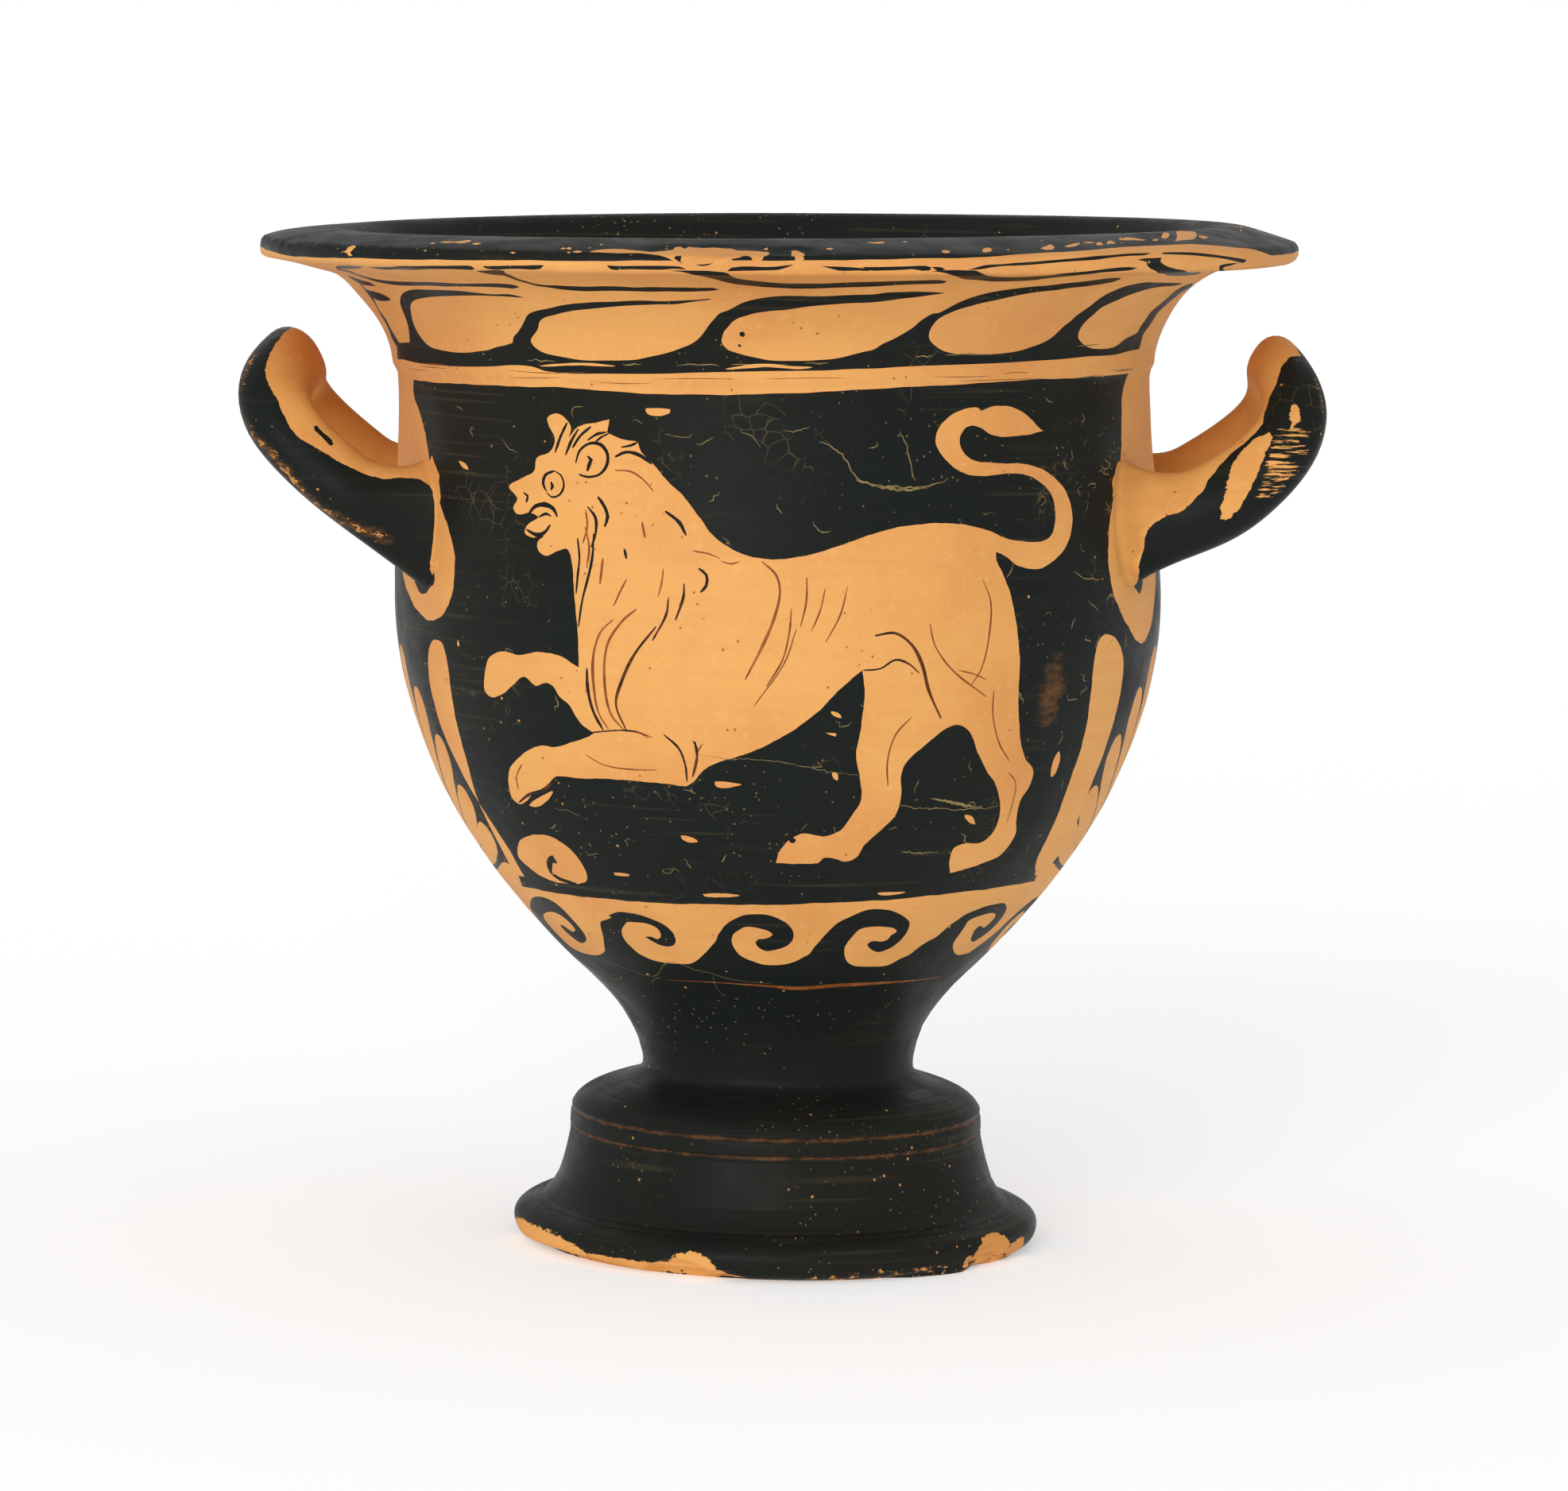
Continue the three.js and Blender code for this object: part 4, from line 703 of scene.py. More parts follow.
# stripe and leaf band of the mouth
black_top = edge(276.2, 0.2, 5, [(-U0, 0.6), (-128, -0.8), (-58, -0.1), (-35, -1.0), (-12, -1.1), (26, 0.2), (72, 1.8), (117, 1.5), (U0, 0.6)])
stripe = [(q[0], q[1] - 333.2) for q in LIP_STRIPE]
ring(black_top, edge(333.2, 0.22, 9, [(-U0, 0.6)] + stripe + [(150, -0.4), (190, 0.8), (240, -0.4), (U0, 0.6)]), CLAY)
for turn in (0.0, U0):
    put(spline(BAND_LOW + BAND_UP[::-1], 0.9) + (turn, 0), GLOSS)
    for pts in UPPER + LIP_LINE:
        put(spline(pts, 1.0) + (turn, 0), GLOSS)
# pale scratches along the step, and two specks inside a leaf
g = np.random.default_rng(77)
for u, v, w in ((-66, 283.2, 9), (-38, 282.8, 5), (-24, 283.0, 11), (-10, 283.2, 14), (8, 283.4, 6), (36, 285.0, 5), (44, 285.4, 12), (86, 286.5, 10), (170, 283, 12), (-200, 283, 16), (250, 283, 10)):
    c = [(u + w * t, v + float(g.normal(0, 0.12))) for t in np.linspace(0, 1, 7)]
    brush(c, 0.32, CRACK, 1.0, 0.2, seed=int(900 + u))
brush([(-11.5, 281.9), (-2, 282.9), (6, 282.3), (10, 282.4)], 0.9, CLAY, 1.0, 0.1, seed=31)
brush([(-62, 281.8), (-50, 282.6), (-40, 282.3)], 0.7, CLAY, 1.0, 0.1, seed=32)
for u, v, r in ((-6.8, 291.6, 0.85), (-7.7, 288.2, 0.45)):
    a = np.linspace(0, 2 * np.pi, 9, endpoint=False)
    put(np.stack([u + r * 0.8 * np.cos(a), v + r * np.sin(a)], 1), GLOSS)
# brown lines left by the brush along the stripe
for k in range(26):
    u = float(g.uniform(-U0 + 20, U0 - 40))
    v = float(g.uniform(277.6, 281.0))
    w = float(g.uniform(8, 30))
    brush([(u, v), (u + w * 0.5, v + float(g.normal(0, 0.2))), (u + w, v + float(g.normal(0, 0.25)))], 0.22, WASH, 1.6, 0.1, seed=940 + k)

# gloss worn off the lip
for pts in LIP_WORN:
    put(hand(spline(pts, 0.8), 0.12, 33), CLAY)
for pts in LIP_LEFT:
    put(spline(pts, 0.8), GLOSS)
for k in range(46):                   # rubbed spots along the rest of the lip
    u = float(g.uniform(100, 2 * U0 - 120))
    u = (u + U0) % (2 * U0) - U0
    v = float(g.uniform(338, 352))
    w, h = float(g.uniform(0.3, 3.2)), float(g.uniform(0.2, 0.9))
    a = np.linspace(0, 2 * np.pi, 10, endpoint=False)
    jag = 1 + g.uniform(-0.35, 0.35, 10)
    if abs(abs(u) - U0) > 8:
        put(np.stack([u + w * jag * np.cos(a), v + h * jag * np.sin(a) + 0.25 * w * np.cos(a) * g.uniform(-1, 1)], 1), CLAY)

# reserved ground round the handle roots, one each side, the same front and back
ZONE_FRONT_L = [(-122.0, 276.6, 1), (-122.6, 271.5), (-117.0, 266.5), (-111.5, 258.0), (-109.2, 251.0), (-102.9, 243.0),
                (-96.6, 233.5), (-95.9, 224.5), (-99.4, 217.3), (-107.0, 213.5), (-116.0, 215.0), (-126.0, 220.0), (-138.0, 229.0)]
ZONE_FRONT_R = [(117.6, 278.4, 1), (113.6, 271.5), (112.0, 259.5), (108.8, 251.2), (103.2, 243.2), (100.4, 231.0),
                (102.6, 220.6), (110.0, 212.4), (120.5, 206.6), (129.0, 210.0), (135.0, 220.0), (142.0, 231.0)]
zone = ZONE_FRONT_L + [(-157, 233.0)] + [(-2 * SIDE - p[0], p[1] - 0.6) + tuple(p[2:]) for p in ZONE_FRONT_L[::-1]]
area(zone, CLAY, 1.4, 0.25, 21)
zone = ZONE_FRONT_R + [(157, 234.0)] + [(2 * SIDE - p[0], p[1] - 0.6) + tuple(p[2:]) for p in ZONE_FRONT_R[::-1]]
area(zone, CLAY, 1.4, 0.25, 22)

# handle roots: outline of each on the wall, and the black brushed round it
ROOTS = []
ROOT_U, ROOT_V, ROOT_W, ROOT_H = 112.4, 238.6, 8.4, 16.8
for side in (-1, 1):
    for face in (1, -1):              # front, back
        u = side * (ROOT_U if face > 0 else 2 * SIDE - ROOT_U)
        a = np.linspace(0, 2 * np.pi, 30, endpoint=False)
        ROOTS.append((side, face, u, np.stack([u + ROOT_W * np.cos(a), ROOT_V + ROOT_H * np.sin(a)], 1)))
for side, face, u, loop in ROOTS:
    outer = -side * face              # direction of u away from the other root
    if side < 0:
        blob = [(u + outer * 6.5, 224.6), (u + outer * 3.5, 221.6), (u, 220.2), (u - outer * 3.5, 220.4),
                (u - outer * 6.5, 222.8), (u - outer * 8.6, 226.5), (u, 238.6)]
    else:
        blob = [(u - outer * 1.8, 223.6), (u - outer * 3.6, 221.2), (u - outer * 6.0, 219.8), (u - outer * 8.5, 221.6),
                (u - outer * 9.2, 226.5), (u, 238.6)]
    area(blob, GLOSS, 1.2, 0.3, 400 + int(u))

g = np.random.default_rng(455)
for k in range(120):                  # spatter beside the right-hand root
    u, v = 108.2 + float(g.normal(0, 2.6)), 247.0 + float(g.normal(0, 9.0))
    r = float(g.uniform(0.14, 0.42))
    if (u - ROOT_U) ** 2 / (ROOT_W + 0.8) ** 2 + (v - ROOT_V) ** 2 / (ROOT_H + 0.8) ** 2 > 1 and u < 116:
        a = np.linspace(0, 2 * np.pi, 6, endpoint=False) + k
        put(np.stack([u + r * np.cos(a), v + r * 0.9 * np.sin(a)], 1), GLOSS if k % 3 else WASH)

# palmette under each handle between two tall framing leaves
for side, leaf in ((-1, FRAME_L), (1, FRAME_R)):
    area(leaf, CLAY, 1.2, 0.15, 50 + side)
    area(flipped(leaf, side * SIDE), CLAY, 1.2, 0.15, 60 + side)
    c = side * SIDE
    petals = [(49.0, 141.0, 4.2, 17), (47.5, 154.5, 4.6, 16), (44.5, 166.0, 4.8, 15), (40.5, 181.0, 5.0, 14),
              (31.5, 194.0, 5.2, 12), (18.5, 204.5, 5.2, 8)]
    hv = 136.5
    for k, (du, v, half, h0) in enumerate(petals):
        for s in (-1, 1):
            start = np.array([c + s * (6.0 if k < 4 else 4.0), hv + 3.2 * k])
            tip = np.array([c + s * du, v])
            d = tip - start
            length = np.hypot(*d)
            d /= length
            n = np.array([-d[1], d[0]]) * s
            bend = 0.10 * length
            pts = []
            for t, w in ((0.0, 0.12), (0.25, 0.5), (0.55, 0.85), (0.82, 1.0), (0.95, 0.75), (1.0, 0.0)):
                pts.append(start + d * length * t + n * (half * w) - n * bend * math.sin(math.pi * t) * 0.6)
            for t, w in ((0.95, 0.75), (0.82, 1.0), (0.55, 0.8), (0.25, 0.45), (0.0, 0.12)):
                pts.append(start + d * length * t - n * (half * w) - n * bend * math.sin(math.pi * t) * 0.6)
            area([tuple(q) for q in pts], CLAY, 1.3, 0.15, 70 + k * 5 + s + side * 40)
    area([(c - 1.4, 156), (c - 4.6, 185), (c - 5.4, 200), (c, 211), (c + 5.4, 200), (c + 4.6, 185), (c + 1.4, 156)], CLAY, 1.3, 0.15, 99 + side)
    area([(c - 6, 141), (c - 4.5, 148), (c, 151), (c + 4.5, 148), (c + 6, 141), (c, 138.6)], CLAY, 1.2, 0.1, 120 + side)
area(CURL, CLAY, 1.0, 0.12, 130)
brush(CURL_HOOK, [1.6, 1.5, 1.3, 2.4, 3.0], GLOSS, 0.8, 0.8, seed=131)
area(flipped(CURL, -SIDE), CLAY, 1.0, 0.12, 132)
brush(flipped(CURL_HOOK, -SIDE)[::-1], [1.6, 1.5, 1.3, 2.4, 3.0], GLOSS, 0.8, 0.8, seed=133)

# the lion
area(LION, CLAY, 0.95, 0.10, 140)
for k, (pts, width, kind) in enumerate(STROKES):
    low = np.mean([q[1] for q in pts]) < 226
    brush(pts, width * (1.1 if kind == 0 else 1.25), WASH if kind else (DARK if low else GLOSS), 1.1, 0.45, seed=500 + k)
a = np.linspace(0, 2 * np.pi, 11, endpoint=False)
put(np.stack([4.4 + 1.0 * np.cos(a), 157.9 + 0.9 * np.sin(a)], 1), GLOSS)
for k, pts in enumerate(SPOTS):
    area(pts, CLAY, 0.8, 0.08, 600 + k)
brush([(-55.5, 105.0), (-30.5, 105.2), (-5.5, 104.1), (10.2, 102.9), (32.6, 103.8), (93.9, 102.9)], [0.25, 0.5, 1.3, 1.5, 0.9, 0.4], WASH, 1.4, 0.3, seed=650)
for k, (pts, width) in enumerate(CRACKS):
    c = spline(pts, 0.9, closed=False)
    g = np.random.default_rng(700 + k)
    c = c + g.normal(0, 0.16, c.shape)
    brush([tuple(q) for q in c], width * 0.8, CRACK, 0.9, 0.25, seed=720 + k)
# fine short cracks scattered in the gloss of the front
g = np.random.default_rng(811)
for k in range(120):
    u, v = g.uniform(-118, 118), g.uniform(142, 272)
    if k % 4 == 0:                    # most of them near the right-hand edge of the picture
        u, v = g.uniform(88, 108), g.uniform(196, 270)
    n = int(g.integers(3, 6))
    a = g.uniform(0, 6.28)
    pts = [(u, v)]
    for _ in range(n):
        a += g.normal(0, 0.9)
        pts.append((pts[-1][0] + 1.3 * math.cos(a), pts[-1][1] + 1.0 * math.sin(a)))
    brush(pts, float(g.uniform(0.16, 0.36)), -1, 1.0, 0.3, seed=820 + k)
# ---- the body's skin: a triangulation that follows every painted outline -------------
def inside(poly, pts):
    """Nonzero winding test of pts against a closed polygon."""
    x, y = pts[:, 0], pts[:, 1]
    w = np.zeros(len(pts), int)
    a = poly
    b = np.roll(poly, -1, 0)
    for k in range(0, len(a), 64):
        x0, y0, x1, y1 = a[k:k + 64, 0], a[k:k + 64, 1], b[k:k + 64, 0], b[k:k + 64, 1]
        up = (y0[None] <= y[:, None]) & (y1[None] > y[:, None])
        dn = (y0[None] > y[:, None]) & (y1[None] <= y[:, None])
        cr = (x1 - x0)[None] * (y[:, None] - y0[None]) - (x[:, None] - x0[None]) * (y1 - y0)[None]
        w += (up & (cr > 0)).sum(1) - (dn & (cr < 0)).sum(1)
    return w != 0


def classify(pts):
    mat = np.zeros(len(pts), int)
    for poly, m in SHAPES:
        lo, hi = poly.min(0), poly.max(0)
        k = np.nonzero((pts[:, 0] >= lo[0]) & (pts[:, 0] <= hi[0]) & (pts[:, 1] >= lo[1]) & (pts[:, 1] <= hi[1]))[0]
        if not len(k):
            continue
        k = k[inside(poly, pts[k])]
        if m >= 0:
            mat[k] = m
        else:                       # a hairline that shows only in the gloss
            mat[k[mat[k] == GLOSS]] = CRACK
    return mat


# turned lines on the foot: height up the wall, depth, half width
GROOVES = [(45.9, 0.40, 0.45), (47.0, -0.15, 0.5), (41.2, 0.36, 0.4), (39.8, 0.12, 0.6), (27.5, 0.10, 0.8),
           (20.4, 0.24, 0.45), (17.6, 0.18, 0.45), (62.5, 0.14, 0.5), (57.0, 0.10, 0.5), (54.0, 0.12, 0.4)]

V_FOOT = 72.0                     # below this the wall is plain rings
rows = [V_FOOT]
while rows[-1] < V_TOP - 0.5:
    v = rows[-1]
    h = 2.9
    if v > 326:
        h = 1.2
    if 270 < v < 286:
        h = 1.2
    if 286 < v < 306:
        h = 2.2
    rows.append(v + h)
rows = np.array(rows[:-1])
foot_rows = [0.0]
while foot_rows[-1] < V_FOOT - 0.3:
    v = foot_rows[-1]
    h = 1.5
    if v < 12:
        h = 0.9
    for gv, _, gw in GROOVES:
        if gv - 1.3 < v < gv + 1.1:
            h = min(h, 0.26)
        elif gv - 2.4 < v < gv + 2.0:
            h = min(h, 0.7)
    foot_rows.append(v + h)
foot_rows = np.array(foot_rows[:-1] + [V_FOOT])
NSEG = 180                        # columns at the top and bottom edges


def build_skin():
    boundary_rows = rows[1:]
    verts, edges = [], []

    def chain(p, closed=True):
        s = len(verts)
        verts.extend(map(tuple, p))
        n = len(p)
        edges.extend([(s + i, s + i + 1) for i in range(n - 1)])
        if closed:
            edges.append((s + n - 1, s))

    # frame of the unrolled wall
    ub = np.linspace(-U0, U0, NSEG + 1)
    chain(np.vstack([
        np.stack([ub, np.full_like(ub, V_FOOT)], 1),
        np.stack([np.full(len(boundary_rows), U0), boundary_rows], 1),
        np.stack([ub[::-1], np.full_like(ub, V_TOP)], 1),
        np.stack([np.full(len(boundary_rows), -U0), boundary_rows[::-1]], 1)]))
    for _, _, _, loop in ROOTS:
        chain(loop)
    for poly, _ in SHAPES:
        chain(poly)
    busy = np.array(verts)
    # fill points, away from every outline
    cell = 0.5
    nu, nv = int(2 * U0 / cell) + 3, int(V_TOP / cell) + 3
    mask = np.zeros((nu, nv), bool)
    e = np.array(edges)
    a, b = busy[e[:, 0]], busy[e[:, 1]]
    for t in np.linspace(0, 1, 5):
        q = a + (b - a) * t
        i = ((q[:, 0] + U0) / cell + 1).astype(int)
        j = (q[:, 1] / cell + 1).astype(int)
        k = (i >= 0) & (i < nu) & (j >= 0) & (j < nv)
        mask[i[k], j[k]] = True
    near = mask.copy()
    for di in (-2, -1, 0, 1, 2):
        for dj in (-1, 0, 1):
            near |= np.roll(np.roll(mask, di, 0), dj, 1)
    fill = []
    for i, v in enumerate(rows[1:]):
        r = max(float(r_of(v)), 20.0)
        target = 3.1 if 72 < v < 306 else 3.6
        n = int(2 * math.pi * r / target)
        u = -U0 + (np.arange(n) + (0.5 if i % 2 else 0.25)) * 2 * U0 / n
        iu = ((u + U0) / cell + 1).astype(int)
        jv = int(v / cell + 1)
        u = u[~near[iu, jv]]
        g = np.random.default_rng(5000 + i)
        fill.append(np.stack([u + g.uniform(-0.25, 0.25, len(u)), v + g.uniform(-0.16, 0.16, len(u))], 1))
    fill = np.vstack(fill)
    verts.extend(map(tuple, fill))
    res = delaunay_2d_cdt([Vector(p) for p in verts], edges, [], 0, 1e-4)
    P = np.array([tuple(p) for p in res[0]])
    T = np.array([f for f in res[2] if len(f) == 3])
    c = P[T].mean(1)
    keep = (np.abs(c[:, 0]) < U0) & (c[:, 1] > V_FOOT) & (c[:, 1] < V_TOP)
    for _, _, _, loop in ROOTS:
        k = np.nonzero(keep & (np.abs(c[:, 0] - loop[:, 0].mean()) < 30))[0]
        keep[k[inside(loop, c[k])]] = False
    T, c = T[keep], c[keep]
    # drop empty triangles that lie along an edge
    q = P[T]
    area2 = np.abs(np.cross(q[:, 1] - q[:, 0], q[:, 2] - q[:, 0]))
    T, c = T[area2 > 1e-9], c[area2 > 1e-9]
    flip = np.cross(P[T][:, 1] - P[T][:, 0], P[T][:, 2] - P[T][:, 0]) < 0
    T[flip] = T[flip][:, ::-1]
    return P, T, classify(c)


CHIPS = [  # places broken from the edge: u, v, half width u, half width v, depth
    (-38.0, 3.5, 12.5, 6.0, 1.6), (-20.0, 2.0, 7.0, 5.0, 0.9), (92.0, 5.5, 9.0, 5.0, 1.5), (104.0, 2.5, 8.0, 4.0, 1.0),
    (-12.0, 338.0, 14.0, 6.0, 0.45), (2.5, 338.0, 3.5, 4.0, 0.4), (-118.0, 337.0, 4.0, 3.0, 0.4), (86.0, 347.0, 6.0, 3.5, 0.45),
    (-102.0, 2.0, 42.0, 4.0, 1.5), (84.0, 2.2, 34.0, 3.6, -1.2), (200.0, 3.0, 9.0, 4.0, 1.0), (-230.0, 335.0, 8.0, 3.0, 0.6), (-262.0, 2.0, 8.0, 4.0, 0.9)]


def relief(u, v):
    """Small ups and downs of the thrown and turned surface, outwards, mm."""
    th = u / UREF
    h = 0.10 * wobble(v / 9.0 + 0.4 * np.sin(th), 31, 4) * smooth((v - 66) / 14)
    h += 0.16 * (np.sin(2 * th + 0.6 + v / 60) * 0.5 + 0.4 * np.sin(3 * th - v / 37) + 0.25 * np.sin(5 * th + v / 22))
    for gv, d, w in GROOVES:
        h -= d * np.exp(-((v - gv) / w) ** 2) * (1 + 0.25 * np.sin(3 * th + gv))
    for cu, cv, wu, wv, d in CHIPS:
        du = (u - cu + U0) % (2 * U0) - U0
        q = (du / wu) ** 2 + ((v - cv) / wv) ** 2
        h -= d * smooth((1.25 - q) / 0.7) * (1 + 0.15 * np.sin(u * 1.7) * np.cos(v * 2.3))
    return h


def place(u, v, deform=True):
    """Point of the wall for the unrolled place (u, v)."""
    r, z = r_of(v), z_of(v)
    th = u / UREF
    if deform:
        e = 0.35
        tr = r_of(np.minimum(v + e, V_TOP)) - r_of(np.maximum(v - e, 0))
        tz = z_of(np.minimum(v + e, V_TOP)) - z_of(np.maximum(v - e, 0))
        n = np.hypot(tr, tz)
        end = smooth(v / 1.0) * smooth((V_TOP - v) / 2.0)
        h = relief(u, v) * end
        r = r + h * tz / n
        z = z - h * tr / n
    return fire(np.stack([r * np.sin(th), -r * np.cos(th), np.maximum(z, 0.0)], 1))


def wall_normals(u, v):
    e = 0.3
    a = place(u + e, v) - place(u - e, v)
    b = place(u, np.minimum(v + e, V_TOP)) - place(u, np.maximum(v - e, 0.0))
    n = np.cross(a, b)
    return n / np.maximum(np.linalg.norm(n, axis=1), 1e-9)[:, None]


# ---- handles ------------------------------------------------------------------------
HANDLES = {
    -1: dict(spread=44.0, root=(97.0, 194.0), rise=(117.2, 210.6), bend=(138.6, 223.0), crown=(129.4, 236.0),
             leg_wide=9.0, leg_thick=8.9, crown_wide=8.6, crown_thick=9.6),
    1: dict(spread=44.0, root=(97.0, 193.0), rise=(122.0, 206.0), bend=(144.2, 216.0), crown=(134.6, 235.2),
            leg_wide=9.0, leg_thick=9.7, crown_wide=7.8, crown_thick=7.5),
}
FULL = 2.5
BLEND = 20.0
LOOP_STEPS, LOOP_SIDES = 60, 34


def handle(side, h, ring_near, ring_far):
    """Loop of clay along the handle, stopping short of the wall at both ends; ring_near and ring_far are not used.
    Returns points (k, n, 3) before firing, and the section angle of every column."""
    t = np.linspace(0, 1, 801)
    b = bez(h["root"], h["rise"], h["bend"], h["crown"], 800)
    b = np.vstack([[h["root"]], b])
    tau = np.linspace(0, np.pi, 2001)
    c, s = np.cos(tau), np.clip(np.sin(tau), 0, 1)
    v = s ** (2 / FULL)
    y = -h["spread"] * np.sign(c) * np.abs(c) ** (2 / FULL)
    a = np.interp(v, t, b[:, 0])
    z = np.interp(v, t, b[:, 1])
    nb = np.stack([np.gradient(b[:, 1]), -np.gradient(b[:, 0])], 1)
    nb /= np.hypot(*nb.T)[:, None]
    na, nz = np.interp(v, t, nb[:, 0]), np.interp(v, t, nb[:, 1])
    path = np.stack([a, y, z], 1)
    run = arc(path[:, [0, 1]])
    run = np.concatenate([[0], np.cumsum(np.linalg.norm(np.diff(path, axis=0), axis=1))])
    total = run[-1]

    def at(q):
        p = np.stack([np.interp(q, run, path[:, k]) for k in range(3)], -1)
        p1 = np.stack([np.interp(q + 0.5, run, path[:, k]) for k in range(3)], -1)
        p0 = np.stack([np.interp(q - 0.5, run, path[:, k]) for k in range(3)], -1)
        tg = (p1 - p0) / np.linalg.norm(p1 - p0, axis=-1, keepdims=True)
        n = np.stack([np.interp(q, run, na), 0 * q, np.interp(q, run, nz)], -1)
        n -= tg * (n * tg).sum(-1, keepdims=True)
        n /= np.linalg.norm(n, axis=-1, keepdims=True)
        return p, tg, n, np.cross(tg, n)

    q = np.linspace(BLEND, total - BLEND, LOOP_STEPS)
    p, tg, n, sd = at(q)
    mid = np.sin(np.pi * q / total) ** 2
    n_col = LOOP_SIDES
    al = np.radians(np.tile(np.arange(n_col) * 360.0 / n_col, (len(q), 1)))
    wide = h["leg_wide"] + (h["crown_wide"] - h["leg_wide"]) * mid
    thick = h["leg_thick"] + (h["crown_thick"] - h["leg_thick"]) * mid ** 1.5
    swell = 1 + 0.06 * np.cos(3 * (al + np.pi / 2)) + 0.012 * np.sin(q / 7.0)[:, None] + 0.010 * np.sin(al * 2 + (q / 11.0)[:, None])
    # the legs are fuller underneath where they leave the wall
    ends = np.minimum(q, total - q)
    full = (2.0 if side > 0 else 0.9) * np.exp(-((ends - 22.0) / 15.0) ** 2)
    low = full[:, None] * np.maximum(np.sin(al), 0.0) ** 2
    ring = p[:, None] + sd[:, None] * (wide[:, None] * swell * np.cos(al))[..., None] \
        + n[:, None] * (thick[:, None] * swell * np.sin(al) + low)[..., None]
    frames = (p, tg, n, sd, al)
    return ring, frames


# Where the black of the handles ends. Rows count along the handle from the wall
# (-1) to the crown (38.5) and the same way again from the other root; angles go
# round the section: 0 faces the hole, 90 down and out, 180 the outer rim, 270 up.
BLACK_TO = {
    -1: [(-1, 128), (0, 222), (1, 232), (2.1, 237), (3.5, 238), (5, 229), (6.5, 225), (8.5, 221), (10.9, 212), (13.5, 206),
         (14.8, 198), (16.6, 194), (18, 197), (20.1, 201), (21.9, 190), (23.6, 178), (26, 168), (28.8, 160), (33.3, 151), (39, 153)],
    1: [(-1, 78), (0.1, 102), (0.8, 132), (1.3, 147), (1.5, 162), (2, 171), (3, 181), (3.9, 188), (4.9, 186), (5.6, 189),
        (6.8, 200), (8, 208), (9.2, 222), (10.7, 234), (12.1, 240), (13.8, 247), (17.5, 246), (19, 246), (21, 252), (22.6, 248),
        (24.3, 240), (26, 217), (28.2, 191), (29, 171), (29.9, 140), (33, 128), (39, 124)],
}
BLACK_FROM = {-1: [(-1, 38), (0, 46), (39, 50)], 1: [(-1, 36), (0, 44), (39, 48)]}
# glaze scraped from the right handle, as rows and angles: bare clay, then a band of thin streaks
SCRAPED = [(17.5, 235), (18.6, 215), (16.3, 205), (13.0, 176), (10.8, 162), (9.7, 154), (8.2, 153), (8.1, 162), (9.9, 188),
           (11.8, 218), (13.8, 236), (15.9, 238)]
STREAKED = [(18.6, 226), (20.6, 190), (21.0, 160), (19.0, 138), (15.0, 134), (11.5, 146), (13.0, 176), (16.3, 205)]


def into(poly, row, ang, mm_row=3.3, mm_deg=0.155):
    """Depth inside a patch given as rows and angles, mm; negative outside."""
    p = np.array(poly, float) * (mm_row, mm_deg)
    x = np.stack([row * mm_row, ang * mm_deg], 1)
    a, b = p, np.roll(p, -1, 0)
    d = b - a
    t = np.clip(((x[:, None] - a[None]) * d[None]).sum(2) / (d * d).sum(1)[None], 0, 1)
    far = np.linalg.norm(x[:, None] - a[None] - d[None] * t[..., None], axis=2).min(1)
    return np.where(inside(p, x), far, -far)


def root_rings(ring, tg, n, sd, al, loop3, loop_n, loop_a, direction, steps=10):
    """Rings from the wall to the first full section; the outline on the wall is
    met flat, so the clay flows into it. loop3: outline in space, loop_a: its angles."""
    out = []
    order = np.argsort(loop_a)
    la = np.concatenate([loop_a[order] - 2 * np.pi, loop_a[order], loop_a[order] + 2 * np.pi])
    L3 = np.tile(loop3[order], (3, 1))
    LN = np.tile(loop_n[order], (3, 1))
    a = np.mod(al, 2 * np.pi)
    foot = np.stack([np.interp(a, la, L3[:, k]) for k in range(3)], 1)
    fn = np.stack([np.interp(a, la, LN[:, k]) for k in range(3)], 1)
    fn /= np.linalg.norm(fn, axis=1)[:, None]
    centre = foot.mean(0)
    inward = centre - foot
    inward -= fn * (inward * fn).sum(1)[:, None]
    inward /= np.maximum(np.linalg.norm(inward, axis=1), 1e-6)[:, None]
    gap = np.linalg.norm(ring - foot, axis=1)[:, None]
    m0 = (inward * 0.55 + fn * 0.75) * gap * 1.05
    m1 = -direction * tg * gap * 0.9
    for t in np.linspace(0, 1, steps + 1)[1:-1]:
        out.append((2 * t**3 - 3 * t**2 + 1) * foot + (t**3 - 2 * t**2 + t) * m0
                   + (-2 * t**3 + 3 * t**2) * ring + (t**3 - t**2) * m1)
    return out
# ---- joining everything into one skin ------------------------------------------------
def raw(u, v):
    """Point of the wall before firing."""
    r, z = r_of(v), z_of(v)
    e = 0.35
    tr = r_of(np.minimum(v + e, V_TOP)) - r_of(np.maximum(v - e, 0))
    tz = z_of(np.minimum(v + e, V_TOP)) - z_of(np.maximum(v - e, 0))
    n = np.hypot(tr, tz)
    end = smooth(v / 1.0) * smooth((V_TOP - v) / 2.0)
    h = relief(u, v) * end
    r = r + h * tz / n
    z = z - h * tr / n
    th = u / UREF
    return np.stack([r * np.sin(th), -r * np.cos(th), np.maximum(z, 0.0)], 1)


def raw_normals(u, v):
    e = 0.16
    a = raw(u + e, v) - raw(u - e, v)
    b = raw(u, np.minimum(v + e, V_TOP)) - raw(u, np.maximum(v - e, 0.0))
    n = np.cross(a, b)
    return n / np.maximum(np.linalg.norm(n, axis=1), 1e-9)[:, None]


UV, TRI, MAT = build_skin()
